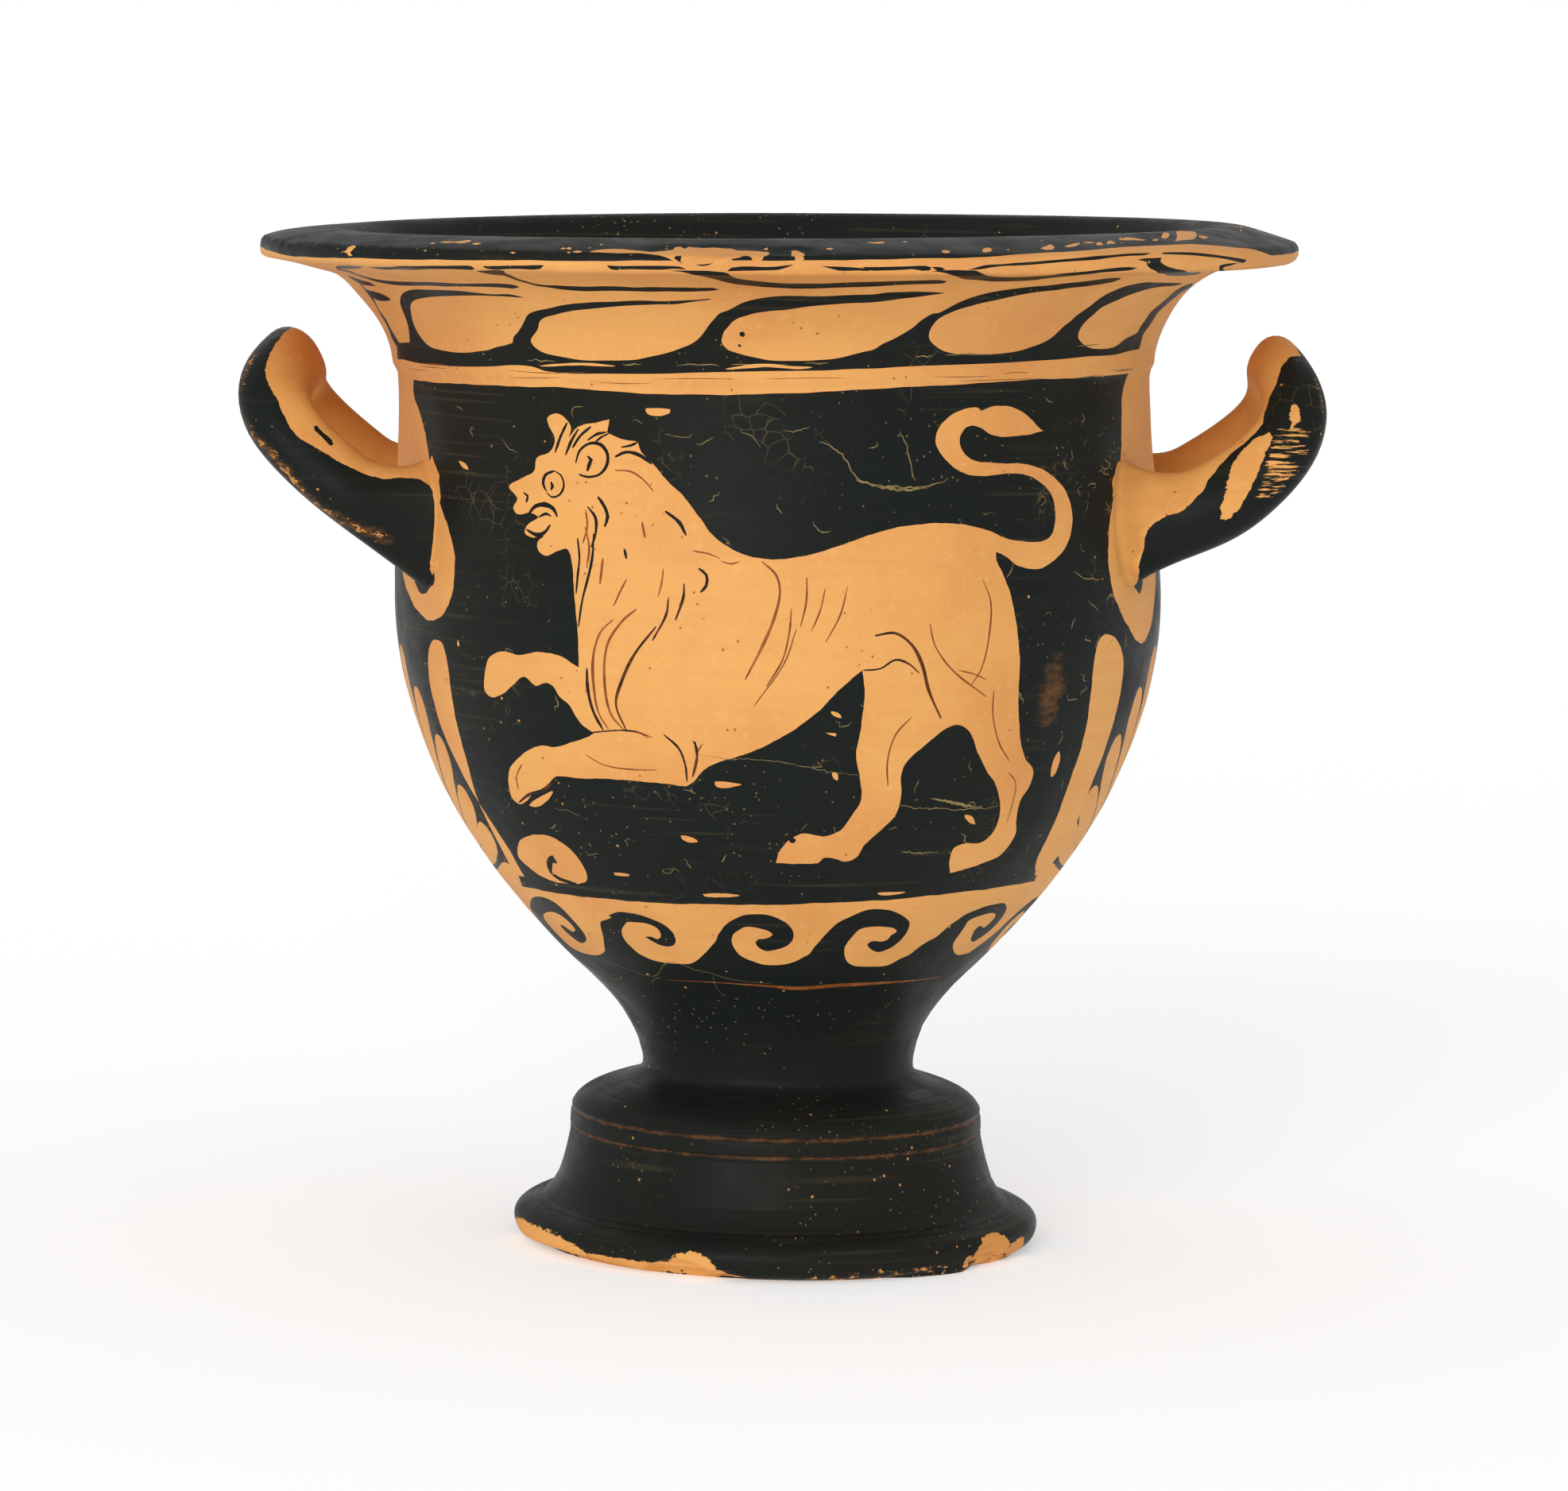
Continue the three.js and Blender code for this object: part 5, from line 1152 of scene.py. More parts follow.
# the foot: plain rings below the picture
u_ring = np.linspace(-U0, U0, NSEG + 1)
n_skin = len(UV)
foot_v = foot_rows[:-1]
grid = np.stack(np.meshgrid(foot_v, u_ring, indexing="ij"), -1)[..., ::-1].reshape(-1, 2)
row_index = [n_skin + k * (NSEG + 1) + np.arange(NSEG + 1) for k in range(len(foot_v))]
shared = np.nonzero((np.abs(UV[:, 1] - V_FOOT) < 1e-4) & (np.abs(UV[:, 0]) < U0 + 1e-3))[0]
shared = shared[np.argsort(UV[shared, 0])]
assert len(shared) == NSEG + 1, len(shared)
row_index.append(shared)
UV = np.vstack([UV, grid])
ft = []
for a_, b_ in zip(row_index[:-1], row_index[1:]):
    ft.append(np.stack([a_[:-1], a_[1:], b_[1:]], 1))
    ft.append(np.stack([a_[:-1], b_[1:], b_[:-1]], 1))
ft = np.vstack(ft)
TRI = np.vstack([TRI, ft])
MAT = np.concatenate([MAT, np.full(len(ft), GLOSS)])
# close the seam at the back
eps = 1e-3
left = np.nonzero(np.abs(UV[:, 0] + U0) < eps)[0]
right = np.nonzero(np.abs(UV[:, 0] - U0) < eps)[0]
left = left[np.argsort(UV[left, 1])]
right = right[np.argsort(UV[right, 1])]
weld = np.arange(len(UV))
for r_ in right:
    k = np.argmin(np.abs(UV[left, 1] - UV[r_, 1]))
    if abs(UV[left[k], 1] - UV[r_, 1]) < 0.02:
        weld[r_] = left[k]
TRI = weld[TRI]
ok = (TRI[:, 0] != TRI[:, 1]) & (TRI[:, 1] != TRI[:, 2]) & (TRI[:, 2] != TRI[:, 0])
TRI, MAT = TRI[ok], MAT[ok]
XYZ = raw(UV[:, 0], UV[:, 1])
NRM = raw_normals(UV[:, 0], UV[:, 1])

verts = [XYZ]
norms = [NRM]
kind = [np.zeros(len(XYZ), int)]        # 0 wall, 1 handle, 2 inside, 3 underside
tris = [TRI]
mats = [MAT]
count = len(XYZ)


def add_verts(p, n, k):
    global count
    s = count
    verts.append(p)
    norms.append(n if n is not None else np.zeros_like(p))
    kind.append(np.full(len(p), k))
    count += len(p)
    return s


def edge_row(v):
    k = np.nonzero((np.abs(UV[:, 1] - v) < 1e-4) & (UV[:, 0] < U0 - eps) & (UV[:, 0] > -U0 - eps))[0]
    return k[np.argsort(UV[k, 0])]


def lathe(profile, step, first_row, kind_id, mat, relief_fn=None):
    """Rings from the row of the wall inwards to the axis."""
    s = arc(profile)
    n = int(s[-1] / step)
    q = np.linspace(0, s[-1], n + 1)[1:]
    r = np.interp(q, s, profile[:, 0])
    z = np.interp(q, s, profile[:, 1])
    th = UV[first_row, 0] / UREF
    prev = first_row
    m = len(first_row)
    for i in range(n):
        if i == n - 1 and r[i] < 1e-6:
            c = add_verts(np.array([[0, 0, z[i]]]), None, kind_id)
            t = np.stack([prev, np.full(m, c), np.roll(prev, -1)], 1)
            tris.append(t)
            mats.append(np.full(m, mat))
            break
        rr = r[i] + (relief_fn(th, q[i]) if relief_fn else 0.0)
        p = np.stack([rr * np.sin(th), -rr * np.cos(th), np.full(m, z[i])], 1)
        c = add_verts(p, None, kind_id)
        row = c + np.arange(m)
        a, b = prev, np.roll(prev, -1)
        d, e_ = row, np.roll(row, -1)
        tris.append(np.stack([a, b, e_], 1))
        tris.append(np.stack([a, e_, d], 1))
        mats.append(np.full(2 * m, mat))
        prev = row
    return prev


def throwing(th, q):
    return 0.18 * np.sin(q / 3.4 + 0.25 * np.sin(th)) * smooth((q - 20) / 30) + 0.3 * np.sin(2 * th + q / 40)


top, bottom = edge_row(V_TOP), edge_row(0.0)
# the profile of the inside starts where the wall ends, going down
lathe(inner_profile(), 4.0, top, 2, GLOSS, throwing)
under = hollow_profile()[::-1].copy()
n_before = len(tris)
lathe(under, 3.6, bottom, 3, CLAY)
for k in range(n_before, len(tris)):
    tris[k] = tris[k][:, ::-1]
for k in range(n_before, len(tris)):
    pass

# boundary loops round the handle roots
edge_count = {}
for t in TRI:
    for a, b in ((t[0], t[1]), (t[1], t[2]), (t[2], t[0])):
        edge_count[(a, b)] = 1
hole_next = {}
for (a, b) in edge_count:
    if (b, a) not in edge_count:
        if 5 < UV[a, 1] < V_TOP - 5 and abs(UV[a, 0]) < U0 - 1:
            hole_next[b] = a          # walk the hole the other way round


def hole_loop(u, v):
    start = min(hole_next, key=lambda k: (UV[k, 0] - u) ** 2 + (UV[k, 1] - v) ** 2)
    loop = [start]
    while True:
        nx = hole_next[loop[-1]]
        if nx == start or len(loop) > 400:
            break
        loop.append(nx)
    return np.array(loop)


def zip_rows(outer, outer_a, inner, inner_a, mat_of, flip):
    """Triangles between two closed rows of points ordered by angle."""
    o = np.argsort(outer_a)
    i_ = np.argsort(inner_a)
    outer, outer_a = outer[o], outer_a[o]
    inner, inner_a, col = inner[i_], inner_a[i_], i_
    A = list(outer_a) + [outer_a[0] + 2 * np.pi]
    B = list(inner_a) + [inner_a[0] + 2 * np.pi]
    # both rows start from their lowest angle
    off = 0
    ia, ib = 0, 0
    out, mm = [], []
    na, nb = len(outer), len(inner)
    while ia < na or ib < nb:
        take_a = ib >= nb or (ia < na and A[ia + 1] < B[ib + 1])
        if take_a:
            t = (outer[ia % na], outer[(ia + 1) % na], inner[ib % nb])
            ia += 1
        else:
            t = (outer[ia % na], inner[(ib + 1) % nb], inner[ib % nb])
            ib += 1
        out.append(t if not flip else (t[0], t[2], t[1]))
        mm.append(mat_of(col[(ib if ib < nb else 0)]))
    return np.array(out), np.array(mm)


HANDLE_INFO = []
for side in (-1, 1):
    ringp, (p, tg, n, sd, al) = handle(side, HANDLES[side], None, None)
    ringp = ringp.copy()
    rows3 = [ringp[k] for k in range(len(ringp))]
    angs = [al[k] for k in range(len(ringp))]
    ends = []
    for face in (1, -1):
        u_c = side * (ROOT_U if face > 0 else 2 * SIDE - ROOT_U)
        loop = hole_loop(u_c, ROOT_V)
        toward = np.sign(side * SIDE - u_c)
        cs = (UV[loop, 0] - u_c) * toward / ROOT_W
        sn = -(UV[loop, 1] - ROOT_V) / ROOT_H
        la = np.mod(np.arctan2(sn, cs), 2 * np.pi)
        k = 0 if face > 0 else len(ringp) - 1
        # unfired space, with the handle placed left or right
        q = ringp[k] * (1, 1, 1)
        mir = np.array([side, 1.0, 1.0])
        rr = root_rings(q * mir, tg[k] * mir, n[k] * mir, sd[k] * mir, al[k], XYZ[loop], NRM[loop], la,
                        -1.0 if face > 0 else 1.0)
        ends.append((loop, la, rr, al[k]))
    mir = np.array([side, 1.0, 1.0])
    rows_all = ends[0][2] + [r * mir for r in rows3] + ends[1][2][::-1]
    ang_all = [ends[0][3]] * len(ends[0][2]) + angs + [ends[1][3]] * len(ends[1][2])
    starts = []
    for rr in rows_all:
        starts.append(add_verts(rr, None, 1))
    m = LOOP_SIDES
    total_rows = len(rows_all)
    for k in range(total_rows - 1):
        a = starts[k] + np.arange(m)
        b = starts[k] + (np.arange(m) + 1) % m
        c = starts[k + 1] + np.arange(m)
        d = starts[k + 1] + (np.arange(m) + 1) % m
        mt = np.full(m, GLOSS)
        t1 = np.stack([a, c, d], 1)
        t2 = np.stack([a, d, b], 1)
        tris.append(t1); mats.append(mt)
        tris.append(t2); mats.append(mt)
    for j, (loop, la, rr, alk) in enumerate(ends):
        row = starts[0] + np.arange(m) if j == 0 else starts[-1] + np.arange(m)
        t, mm = zip_rows(loop, la, row, np.mod(alk, 2 * np.pi), lambda c: GLOSS, False)
        tris.append(t); mats.append(mm)
    HANDLE_INFO.append((side, starts, ang_all, [(e[0], e[1]) for e in ends]))

V = np.vstack(verts)
N = np.vstack(norms)
K = np.concatenate(kind)
T = np.vstack(tris)
M = np.concatenate(mats)
print("skin", len(V), "points", len(T), "triangles")

# every triangle the same way out: fix whole groups by walking over shared edges
def unify(T):
    import collections
    edge = collections.defaultdict(list)
    for i, t in enumerate(T.tolist()):
        for a, b in ((t[0], t[1]), (t[1], t[2]), (t[2], t[0])):
            edge[(a, b) if a < b else (b, a)].append((i, a < b))
    state = np.zeros(len(T), int)
    state[0] = 1
    stack = [0]
    lists = T.tolist()
    while stack:
        i = stack.pop()
        t = lists[i]
        for a, b in ((t[0], t[1]), (t[1], t[2]), (t[2], t[0])):
            key = (a, b) if a < b else (b, a)
            mine = (a < b)
            for j, other in edge[key]:
                if j != i and state[j] == 0:
                    same = (mine == other)
                    state[j] = -state[i] if same else state[i]
                    stack.append(j)
    bad = sum(1 for e in edge.values() if len(e) != 2)
    T = T.copy()
    T[state < 0] = T[state < 0][:, ::-1]
    return T, bad, int((state == 0).sum())


# place along and round the handle, for the paint
H_SIDE, H_ROW, H_ANG = np.zeros(len(V)), np.zeros(len(V)), np.zeros(len(V))
for side, starts, ang_all, ends in HANDLE_INFO:
    last = len(starts) - 1
    for i, (s0, a_) in enumerate(zip(starts, ang_all)):
        k = s0 + np.arange(LOOP_SIDES)
        H_SIDE[k], H_ROW[k], H_ANG[k] = side, i, np.degrees(a_) % 360
    for j, (loop, la) in enumerate(ends):
        H_SIDE[loop], H_ROW[loop], H_ANG[loop] = side, (-1 if j == 0 else last + 1), np.degrees(la) % 360

T, open_edges, lone = unify(T)
used = np.unique(T)
remap = np.full(len(V), -1)
remap[used] = np.arange(len(used))
T = remap[T]
U_ALL = np.zeros(len(V))
V_ALL = np.zeros(len(V))
U_ALL[:len(UV)], V_ALL[:len(UV)] = UV[:, 0], UV[:, 1]
V, N, K, U_ALL, V_ALL = V[used], N[used], K[used], U_ALL[used], V_ALL[used]
H_SIDE, H_ROW, H_ANG = H_SIDE[used], H_ROW[used], H_ANG[used]
print("edges not shared by two:", open_edges, "unreached:", lone)

FV = fire(V)
FV[:, 2] = np.maximum(FV[:, 2], 0.0)
# fire only tips things by a degree, so normals follow by the same small turn
FN = fire(V + N * 0.5) - fire(V)
FN /= np.maximum(np.linalg.norm(FN, axis=1), 1e-9)[:, None]

# ---- wear, thin gloss and painted shade -----------------------------------------------
WEAR = np.zeros(len(V))
# thin gloss, and painted shade on the bare clay of the handles
THIN_AND_SHADE = np.zeros(len(V))
LIP_WEAR = [(-225.0, 336.0, 9.0, 2.2, 0.8), (205.0, 336.0, 12.0, 2.2, 0.7)]
FOOT_WEAR = [(-116.0, 6.4, 36.0, 4.6, 1.0), (-70.0, 3.6, 48.0, 4.0, 1.0), (-31.0, 5.0, 10.5, 6.4, 1.0), (97.0, 8.0, 11.0, 5.6, 0.95),
             (117.0, 7.0, 9.0, 3.0, 0.8), (-88.0, 9.5, 60.0, 4.0, 0.36), (84.0, 6.0, 9.0, 3.2, 0.55),
             (50.0, 1.2, 40.0, 1.2, 0.9), (48.0, 3.8, 44.0, 4.4, 0.44), (104.0, 4.0, 10.0, 4.0, 0.6),
             (-12.0, 1.2, 30.0, 1.0, 0.7), (200.0, 4.0, 30.0, 3.0, 0.8), (-220.0, 3.0, 40.0, 2.6, 0.8)]
wu, wv = U_ALL, V_ALL
wall = K == 0
for cu, cv, du, dv, s in LIP_WEAR + FOOT_WEAR:
    d = (wu - cu + U0) % (2 * U0) - U0
    q = (d / du) ** 2 + ((wv - cv) / dv) ** 2
    WEAR[wall] = np.maximum(WEAR[wall], (s * smooth((1.75 - q) / 1.35))[wall])
crest = np.exp(-((wv - 343.0) / 7.0) ** 2) * 0.20
WEAR[wall] = np.maximum(WEAR[wall], crest[wall])
THIN_AND_SHADE[wall] = np.maximum(THIN_AND_SHADE[wall], (0.9 * np.exp(-(((wu - 78) / 7.0) ** 2 + ((wv - 197) / 14.0) ** 2)))[wall])
for cv, w, s in ((45.9, 1.0, 0.8), (41.2, 0.9, 0.8), (20.4, 1.0, 0.5), (62.5, 1.4, 0.45), (33.0, 2.0, 0.35), (54.0, 0.8, 0.4)):
    THIN_AND_SHADE[wall] = np.maximum(THIN_AND_SHADE[wall], (s * np.exp(-((wv - cv) / w) ** 2))[wall])
BARE = np.zeros(len(V))
LAST = 2 * 8 + LOOP_STEPS + 1
for side in (-1, 1):
    k = np.nonzero(H_SIDE == side)[0]
    row, ang = H_ROW[k], H_ANG[k]
    back = row > LAST / 2
    row = np.where(back, LAST - row, row)
    to = np.interp(row, *np.array(BLACK_TO[side], float).T)
    frm = np.interp(row, *np.array(BLACK_FROM[side], float).T)
    shift = np.where(back, 5.0 * wobble(row / 3.0, 71 + side, 4), 0.0)
    s = np.minimum(to + shift - ang, ang - frm) * 0.155        # mm into the black
    BARE[k] = np.clip(0.5 - s / 3.0, -0.4, 1.4)
    on = K[k] == 1
    # bare clay painted darker near the wall, and painted shade on the inner face of the loop, the side that faces the
    # hole
    wall_dark_and_painted_shade = 0.75 * np.exp(-(row / 7.0) ** 2) * (1 if side > 0 else 0.5) + 0.45 * np.maximum(np.cos(np.radians(ang)), 0)
    THIN_AND_SHADE[k[on]] = np.where(BARE[k] > 0.5, wall_dark_and_painted_shade, 0.0)[on]
    if side > 0:
        bare = smooth(0.5 + into(SCRAPED, row, ang) / 2.4)
        lines = smooth(0.5 + into(STREAKED, row, ang) / 4.0)
        rim = np.exp(-((row - 24.0) / 4.0) ** 2 - ((ang - 139) / 15.0) ** 2)
        WEAR[k[on]] = np.maximum(WEAR[k], np.where(back, 0.0, np.maximum(bare, 0.53 * rim)))[on]
        STRIPED = (k, np.where(back, 0.0, np.maximum(lines, 0.6 * rim)))
        spot = 1.3 * np.exp(-((row - 21.2) / 1.4) ** 2 - ((ang - 192) / 11.0) ** 2)
        WEAR[k[on]] = np.maximum(WEAR[k], np.where(back, 0.0, spot))[on]
    else:
        # a dab of black left on the inner edge
        dab = np.maximum(np.abs(ang - 233.5) * 0.155 - 0.9, np.abs(row - 14.0) * 3.3 - 6.0)
        BARE[k] = np.where(back, BARE[k], np.minimum(BARE[k], np.clip(0.5 + dab / 3.0, -0.4, 1.4)))
        crown = np.exp(-((row - 25.5) / 4.0) ** 2 - ((ang - 138) / 22.0) ** 2)
        below = np.exp(-((ang - 131 - 8 * np.sin(row / 2.0)) / 22.0) ** 2) * smooth((row - 1.0) / 3.0) * smooth((24 - row) / 5.0)
        WEAR[k[on]] = np.maximum(WEAR[k], np.maximum(0.46 * crown, 0.51 * below))[on]
        SCUFFED = (k, np.where(back, 0.0, 0.85 * crown))
        THIN_AND_SHADE[k[on]] = np.maximum(THIN_AND_SHADE[k], np.maximum(0.75 * crown, 0.8 * below))[on]
LINES = np.zeros(len(V))
LINES[STRIPED[0]] = STRIPED[1]
LINES[SCUFFED[0]] = SCUFFED[1]
LINES[K != 1] = 0
X_, Y_, Z_ = FV.T
ins = K == 2
streaky = 0.55 + 0.35 * np.sin(3 * np.arctan2(Y_, X_) + 0.8) + 0.2 * np.sin(7 * np.arctan2(Y_, X_))
THIN_AND_SHADE[ins] = np.maximum(THIN_AND_SHADE[ins], (0.62 * streaky * np.exp(-((Z_ - 258) / 7.0) ** 2))[ins])
near_root = 0.75 * np.exp(-((wu - 111) / 8.0) ** 2 - ((wv - 240) / 20.0) ** 2) * smooth((wu - 101) / 4.0)
THIN_AND_SHADE[wall] = np.maximum(THIN_AND_SHADE[wall], near_root[wall])

mesh = bpy.data.meshes.new("krater_body")
mesh.vertices.add(len(FV))
mesh.vertices.foreach_set("co", (FV / 1000.0).astype(np.float32).ravel())
mesh.loops.add(len(T) * 3)
mesh.loops.foreach_set("vertex_index", T.astype(np.int32).ravel())
mesh.polygons.add(len(T))
mesh.polygons.foreach_set("loop_start", (np.arange(len(T)) * 3).astype(np.int32))
mesh.polygons.foreach_set("loop_total", np.full(len(T), 3, np.int32))
mesh.update(calc_edges=True)
mesh.validate()
for name, data in (("wear", WEAR), ("thin_and_shade", THIN_AND_SHADE), ("bare", BARE), ("lines", LINES)):
    a = mesh.attributes.new(name, "FLOAT", "POINT")
    a.data.foreach_set("value", data.astype(np.float32))

# ---- a flat layout of the whole skin: black, clay and thin lines each have their own
# sheet of the unrolled wall, so no colour can bleed over a painted edge
def progress(profile, k):
    s = arc(profile)
    r = np.hypot(V[k, 0], V[k, 1])
    out = np.zeros(len(k))
    for c in range(0, len(k), 2000):
        d = (r[c:c + 2000, None] - profile[None, :, 0]) ** 2 + (V[k[c:c + 2000], 2][:, None] - profile[None, :, 1]) ** 2
        out[c:c + 2000] = s[d.argmin(1)]
    return out / s[-1]


around = U_ALL.copy()
lathed = np.nonzero(K >= 2)[0]
around[lathed] = np.arctan2(V[lathed, 0], -V[lathed, 1]) * UREF
axis = (K >= 2) & (np.hypot(V[:, 0], V[:, 1]) < 1e-4)
down = np.zeros(len(V))
for kk, prof in ((2, inner_profile()), (3, hollow_profile()[::-1])):
    k = np.nonzero(K == kk)[0]
    down[k] = progress(prof, k)
tk = K[T]
sheet = np.where((tk == 1).any(1), 1, np.where((tk == 2).any(1), 2, np.where((tk == 3).any(1), 3, 0)))
fx = around[T]
wide = (fx.max(1) - fx.min(1)) > U0
fx[wide] = np.where(fx[wide] < 0, fx[wide] + 2 * U0, fx[wide])
tip = axis[T]
rest_mean = np.where(tip, 0, fx).sum(1) / np.maximum((~tip).sum(1), 1)
fx = np.where(tip, rest_mean[:, None], fx)
LX = 0.006 + 0.982 * (fx + U0) / (2 * U0)
LY = np.zeros_like(LX)
up_wall = V_ALL[T] / V_TOP
for mats_, y0, y1 in (((GLOSS,), 0.004, 0.372), ((CLAY,), 0.380, 0.748), ((WASH, CRACK, DARK), 0.756, 0.806)):
    k = (sheet == 0) & np.isin(M, mats_)
    LY[k] = (y0 + (y1 - y0) * up_wall)[k]
LY[sheet == 2] = (0.890 + 0.070 * down[T])[sheet == 2]
LY[sheet == 3] = (0.968 + 0.026 * down[T])[sheet == 3]
ha = H_ANG[T]
turn = (ha.max(1) - ha.min(1)) > 180
ha[turn] = np.where(ha[turn] < 180, ha[turn] + 360, ha[turn])
hs = H_SIDE[T].max(1)
hs = np.where(H_SIDE[T].min(1) < 0, -1, hs)
hx = np.where(hs[:, None] < 0, 0.008, 0.508) + 0.48 * (H_ROW[T] + 1) / (LAST + 1)
k = sheet == 1
LX[k], LY[k] = hx[k], (0.814 + 0.066 * ha / 400.0)[k]
layout = mesh.uv_layers.new(name="OFBake")
layout.data.foreach_set("uv", np.stack([LX, LY], -1).astype(np.float32).ravel())


# ---- materials -------------------------------------------------------------------------
def srgb(r, g, b):
    def f(c):
        c /= 255.0
        return c / 12.92 if c <= 0.04045 else ((c + 0.055) / 1.055) ** 2.4
    return (f(r), f(g), f(b), 1.0)


class Tree:
    """Small helper for writing node trees."""

    def __init__(self, name):
        self.mat = bpy.data.materials.new(name)
        self.mat.use_nodes = True
        self.t = self.mat.node_tree
        self.t.nodes.clear()
        self.out = self.t.nodes.new("ShaderNodeOutputMaterial")
        self.bsdf = self.t.nodes.new("ShaderNodeBsdfPrincipled")
        self.t.links.new(self.bsdf.outputs[0], self.out.inputs[0])
        self.coord = self.t.nodes.new("ShaderNodeTexCoord").outputs["Object"]

    def link(self, a, b):
        if isinstance(a, (int, float)):
            b.default_value = a
        elif isinstance(a, tuple):
            b.default_value = a
        else:
            self.t.links.new(a, b)

    def scaled(self, x, y, z):
        n = self.t.nodes.new("ShaderNodeMapping")
        n.inputs["Scale"].default_value = (x, y, z)
        self.t.links.new(self.coord, n.inputs["Vector"])
        return n.outputs[0]

    def noise(self, scale, detail=3.0, rough=0.55, vector=None, distort=0.0):
        n = self.t.nodes.new("ShaderNodeTexNoise")
        n.inputs["Scale"].default_value = scale
        n.inputs["Detail"].default_value = detail
        n.inputs["Roughness"].default_value = rough
        n.inputs["Distortion"].default_value = distort
        self.t.links.new(vector or self.coord, n.inputs["Vector"])
        return n.outputs["Fac"]

    def cells(self, scale, vector=None, rand=1.0):
        n = self.t.nodes.new("ShaderNodeTexVoronoi")
        n.inputs["Scale"].default_value = scale
        n.inputs["Randomness"].default_value = rand
        self.t.links.new(vector or self.coord, n.inputs["Vector"])
        return n.outputs["Distance"]

    def shaken(self, amount, scale):
        n = self.t.nodes.new("ShaderNodeTexNoise")
        n.inputs["Scale"].default_value = scale
        n.inputs["Detail"].default_value = 2.0
        self.t.links.new(self.coord, n.inputs["Vector"])
        v = self.t.nodes.new("ShaderNodeVectorMath")
        v.operation = "MULTIPLY_ADD"
        self.t.links.new(n.outputs["Color"], v.inputs[0])
        v.inputs[1].default_value = (amount, amount, amount)
        self.t.links.new(self.coord, v.inputs[2])
        return v.outputs[0]

    def height(self):
        n = self.t.nodes.new("ShaderNodeSeparateXYZ")
        self.t.links.new(self.coord, n.inputs[0])
        return n.outputs["Z"]

    def rims(self, scale, vector):
        n = self.t.nodes.new("ShaderNodeTexVoronoi")
        n.feature = "DISTANCE_TO_EDGE"
        n.inputs["Scale"].default_value = scale
        self.t.links.new(vector, n.inputs["Vector"])
        return n.outputs["Distance"]

    def math(self, op, a, b=0.0, clamp=False):
        n = self.t.nodes.new("ShaderNodeMath")
        n.operation = op
        n.use_clamp = clamp
        self.link(a, n.inputs[0])
        self.link(b, n.inputs[1])
        return n.outputs[0]

    def step(self, a, lo, hi, out_lo=0.0, out_hi=1.0):
        n = self.t.nodes.new("ShaderNodeMapRange")
        n.interpolation_type = "SMOOTHSTEP"
        self.link(a, n.inputs["Value"])
        n.inputs["From Min"].default_value = lo
        n.inputs["From Max"].default_value = hi
        n.inputs["To Min"].default_value = out_lo
        n.inputs["To Max"].default_value = out_hi
        return n.outputs["Result"]

    def mix(self, fac, a, b, mode="MIX"):
        n = self.t.nodes.new("ShaderNodeMix")
        n.data_type = "RGBA"
        n.blend_type = mode
        self.link(fac, n.inputs["Factor"])
        self.link(a, n.inputs["A"] if False else n.inputs[6])
        self.link(b, n.inputs[7])
        return n.outputs[2]

    def attr(self, name):
        n = self.t.nodes.new("ShaderNodeAttribute")
        n.attribute_name = name
        return n.outputs["Fac"]

    def bump(self, height, strength, distance, normal=None):
        n = self.t.nodes.new("ShaderNodeBump")
        n.inputs["Strength"].default_value = strength
        n.inputs["Distance"].default_value = distance
        self.t.links.new(height, n.inputs["Height"])
        if normal is not None:
            self.t.links.new(normal, n.inputs["Normal"])
        return n.outputs["Normal"]

    def set(self, name, value):
        self.link(value, self.bsdf.inputs[name])


BLACK = srgb(25, 29, 27)
BLACK_WARM = srgb(29, 29, 25)
ORANGE = srgb(218, 158, 88)
ORANGE_DEEP = srgb(206, 141, 77)
ORANGE_PALE = srgb(226, 173, 111)
BROWN = srgb(118, 62, 28)


def clay_colour(m, deep=0.0):
    big = m.noise(16.0, 4.0, 0.6)
    fine = m.noise(420.0, 3.0, 0.65)
    brushed = m.noise(60.0, 4.0, 0.6, m.scaled(0.35, 0.35, 5.0))
    c = m.mix(m.step(big, 0.38, 0.68), ORANGE, ORANGE_DEEP)
    c = m.mix(m.step(brushed, 0.40, 0.75, 0.0, 0.35), c, ORANGE_DEEP)
    c = m.mix(m.step(fine, 0.52, 0.75, 0.0, 0.35), c, ORANGE_PALE)
    spots = m.cells(330.0)
    c = m.mix(m.math("MULTIPLY", m.step(spots, 0.16, 0.07), m.step(m.noise(55.0), 0.52, 0.62)), c, srgb(150, 88, 44))
    return c, fine


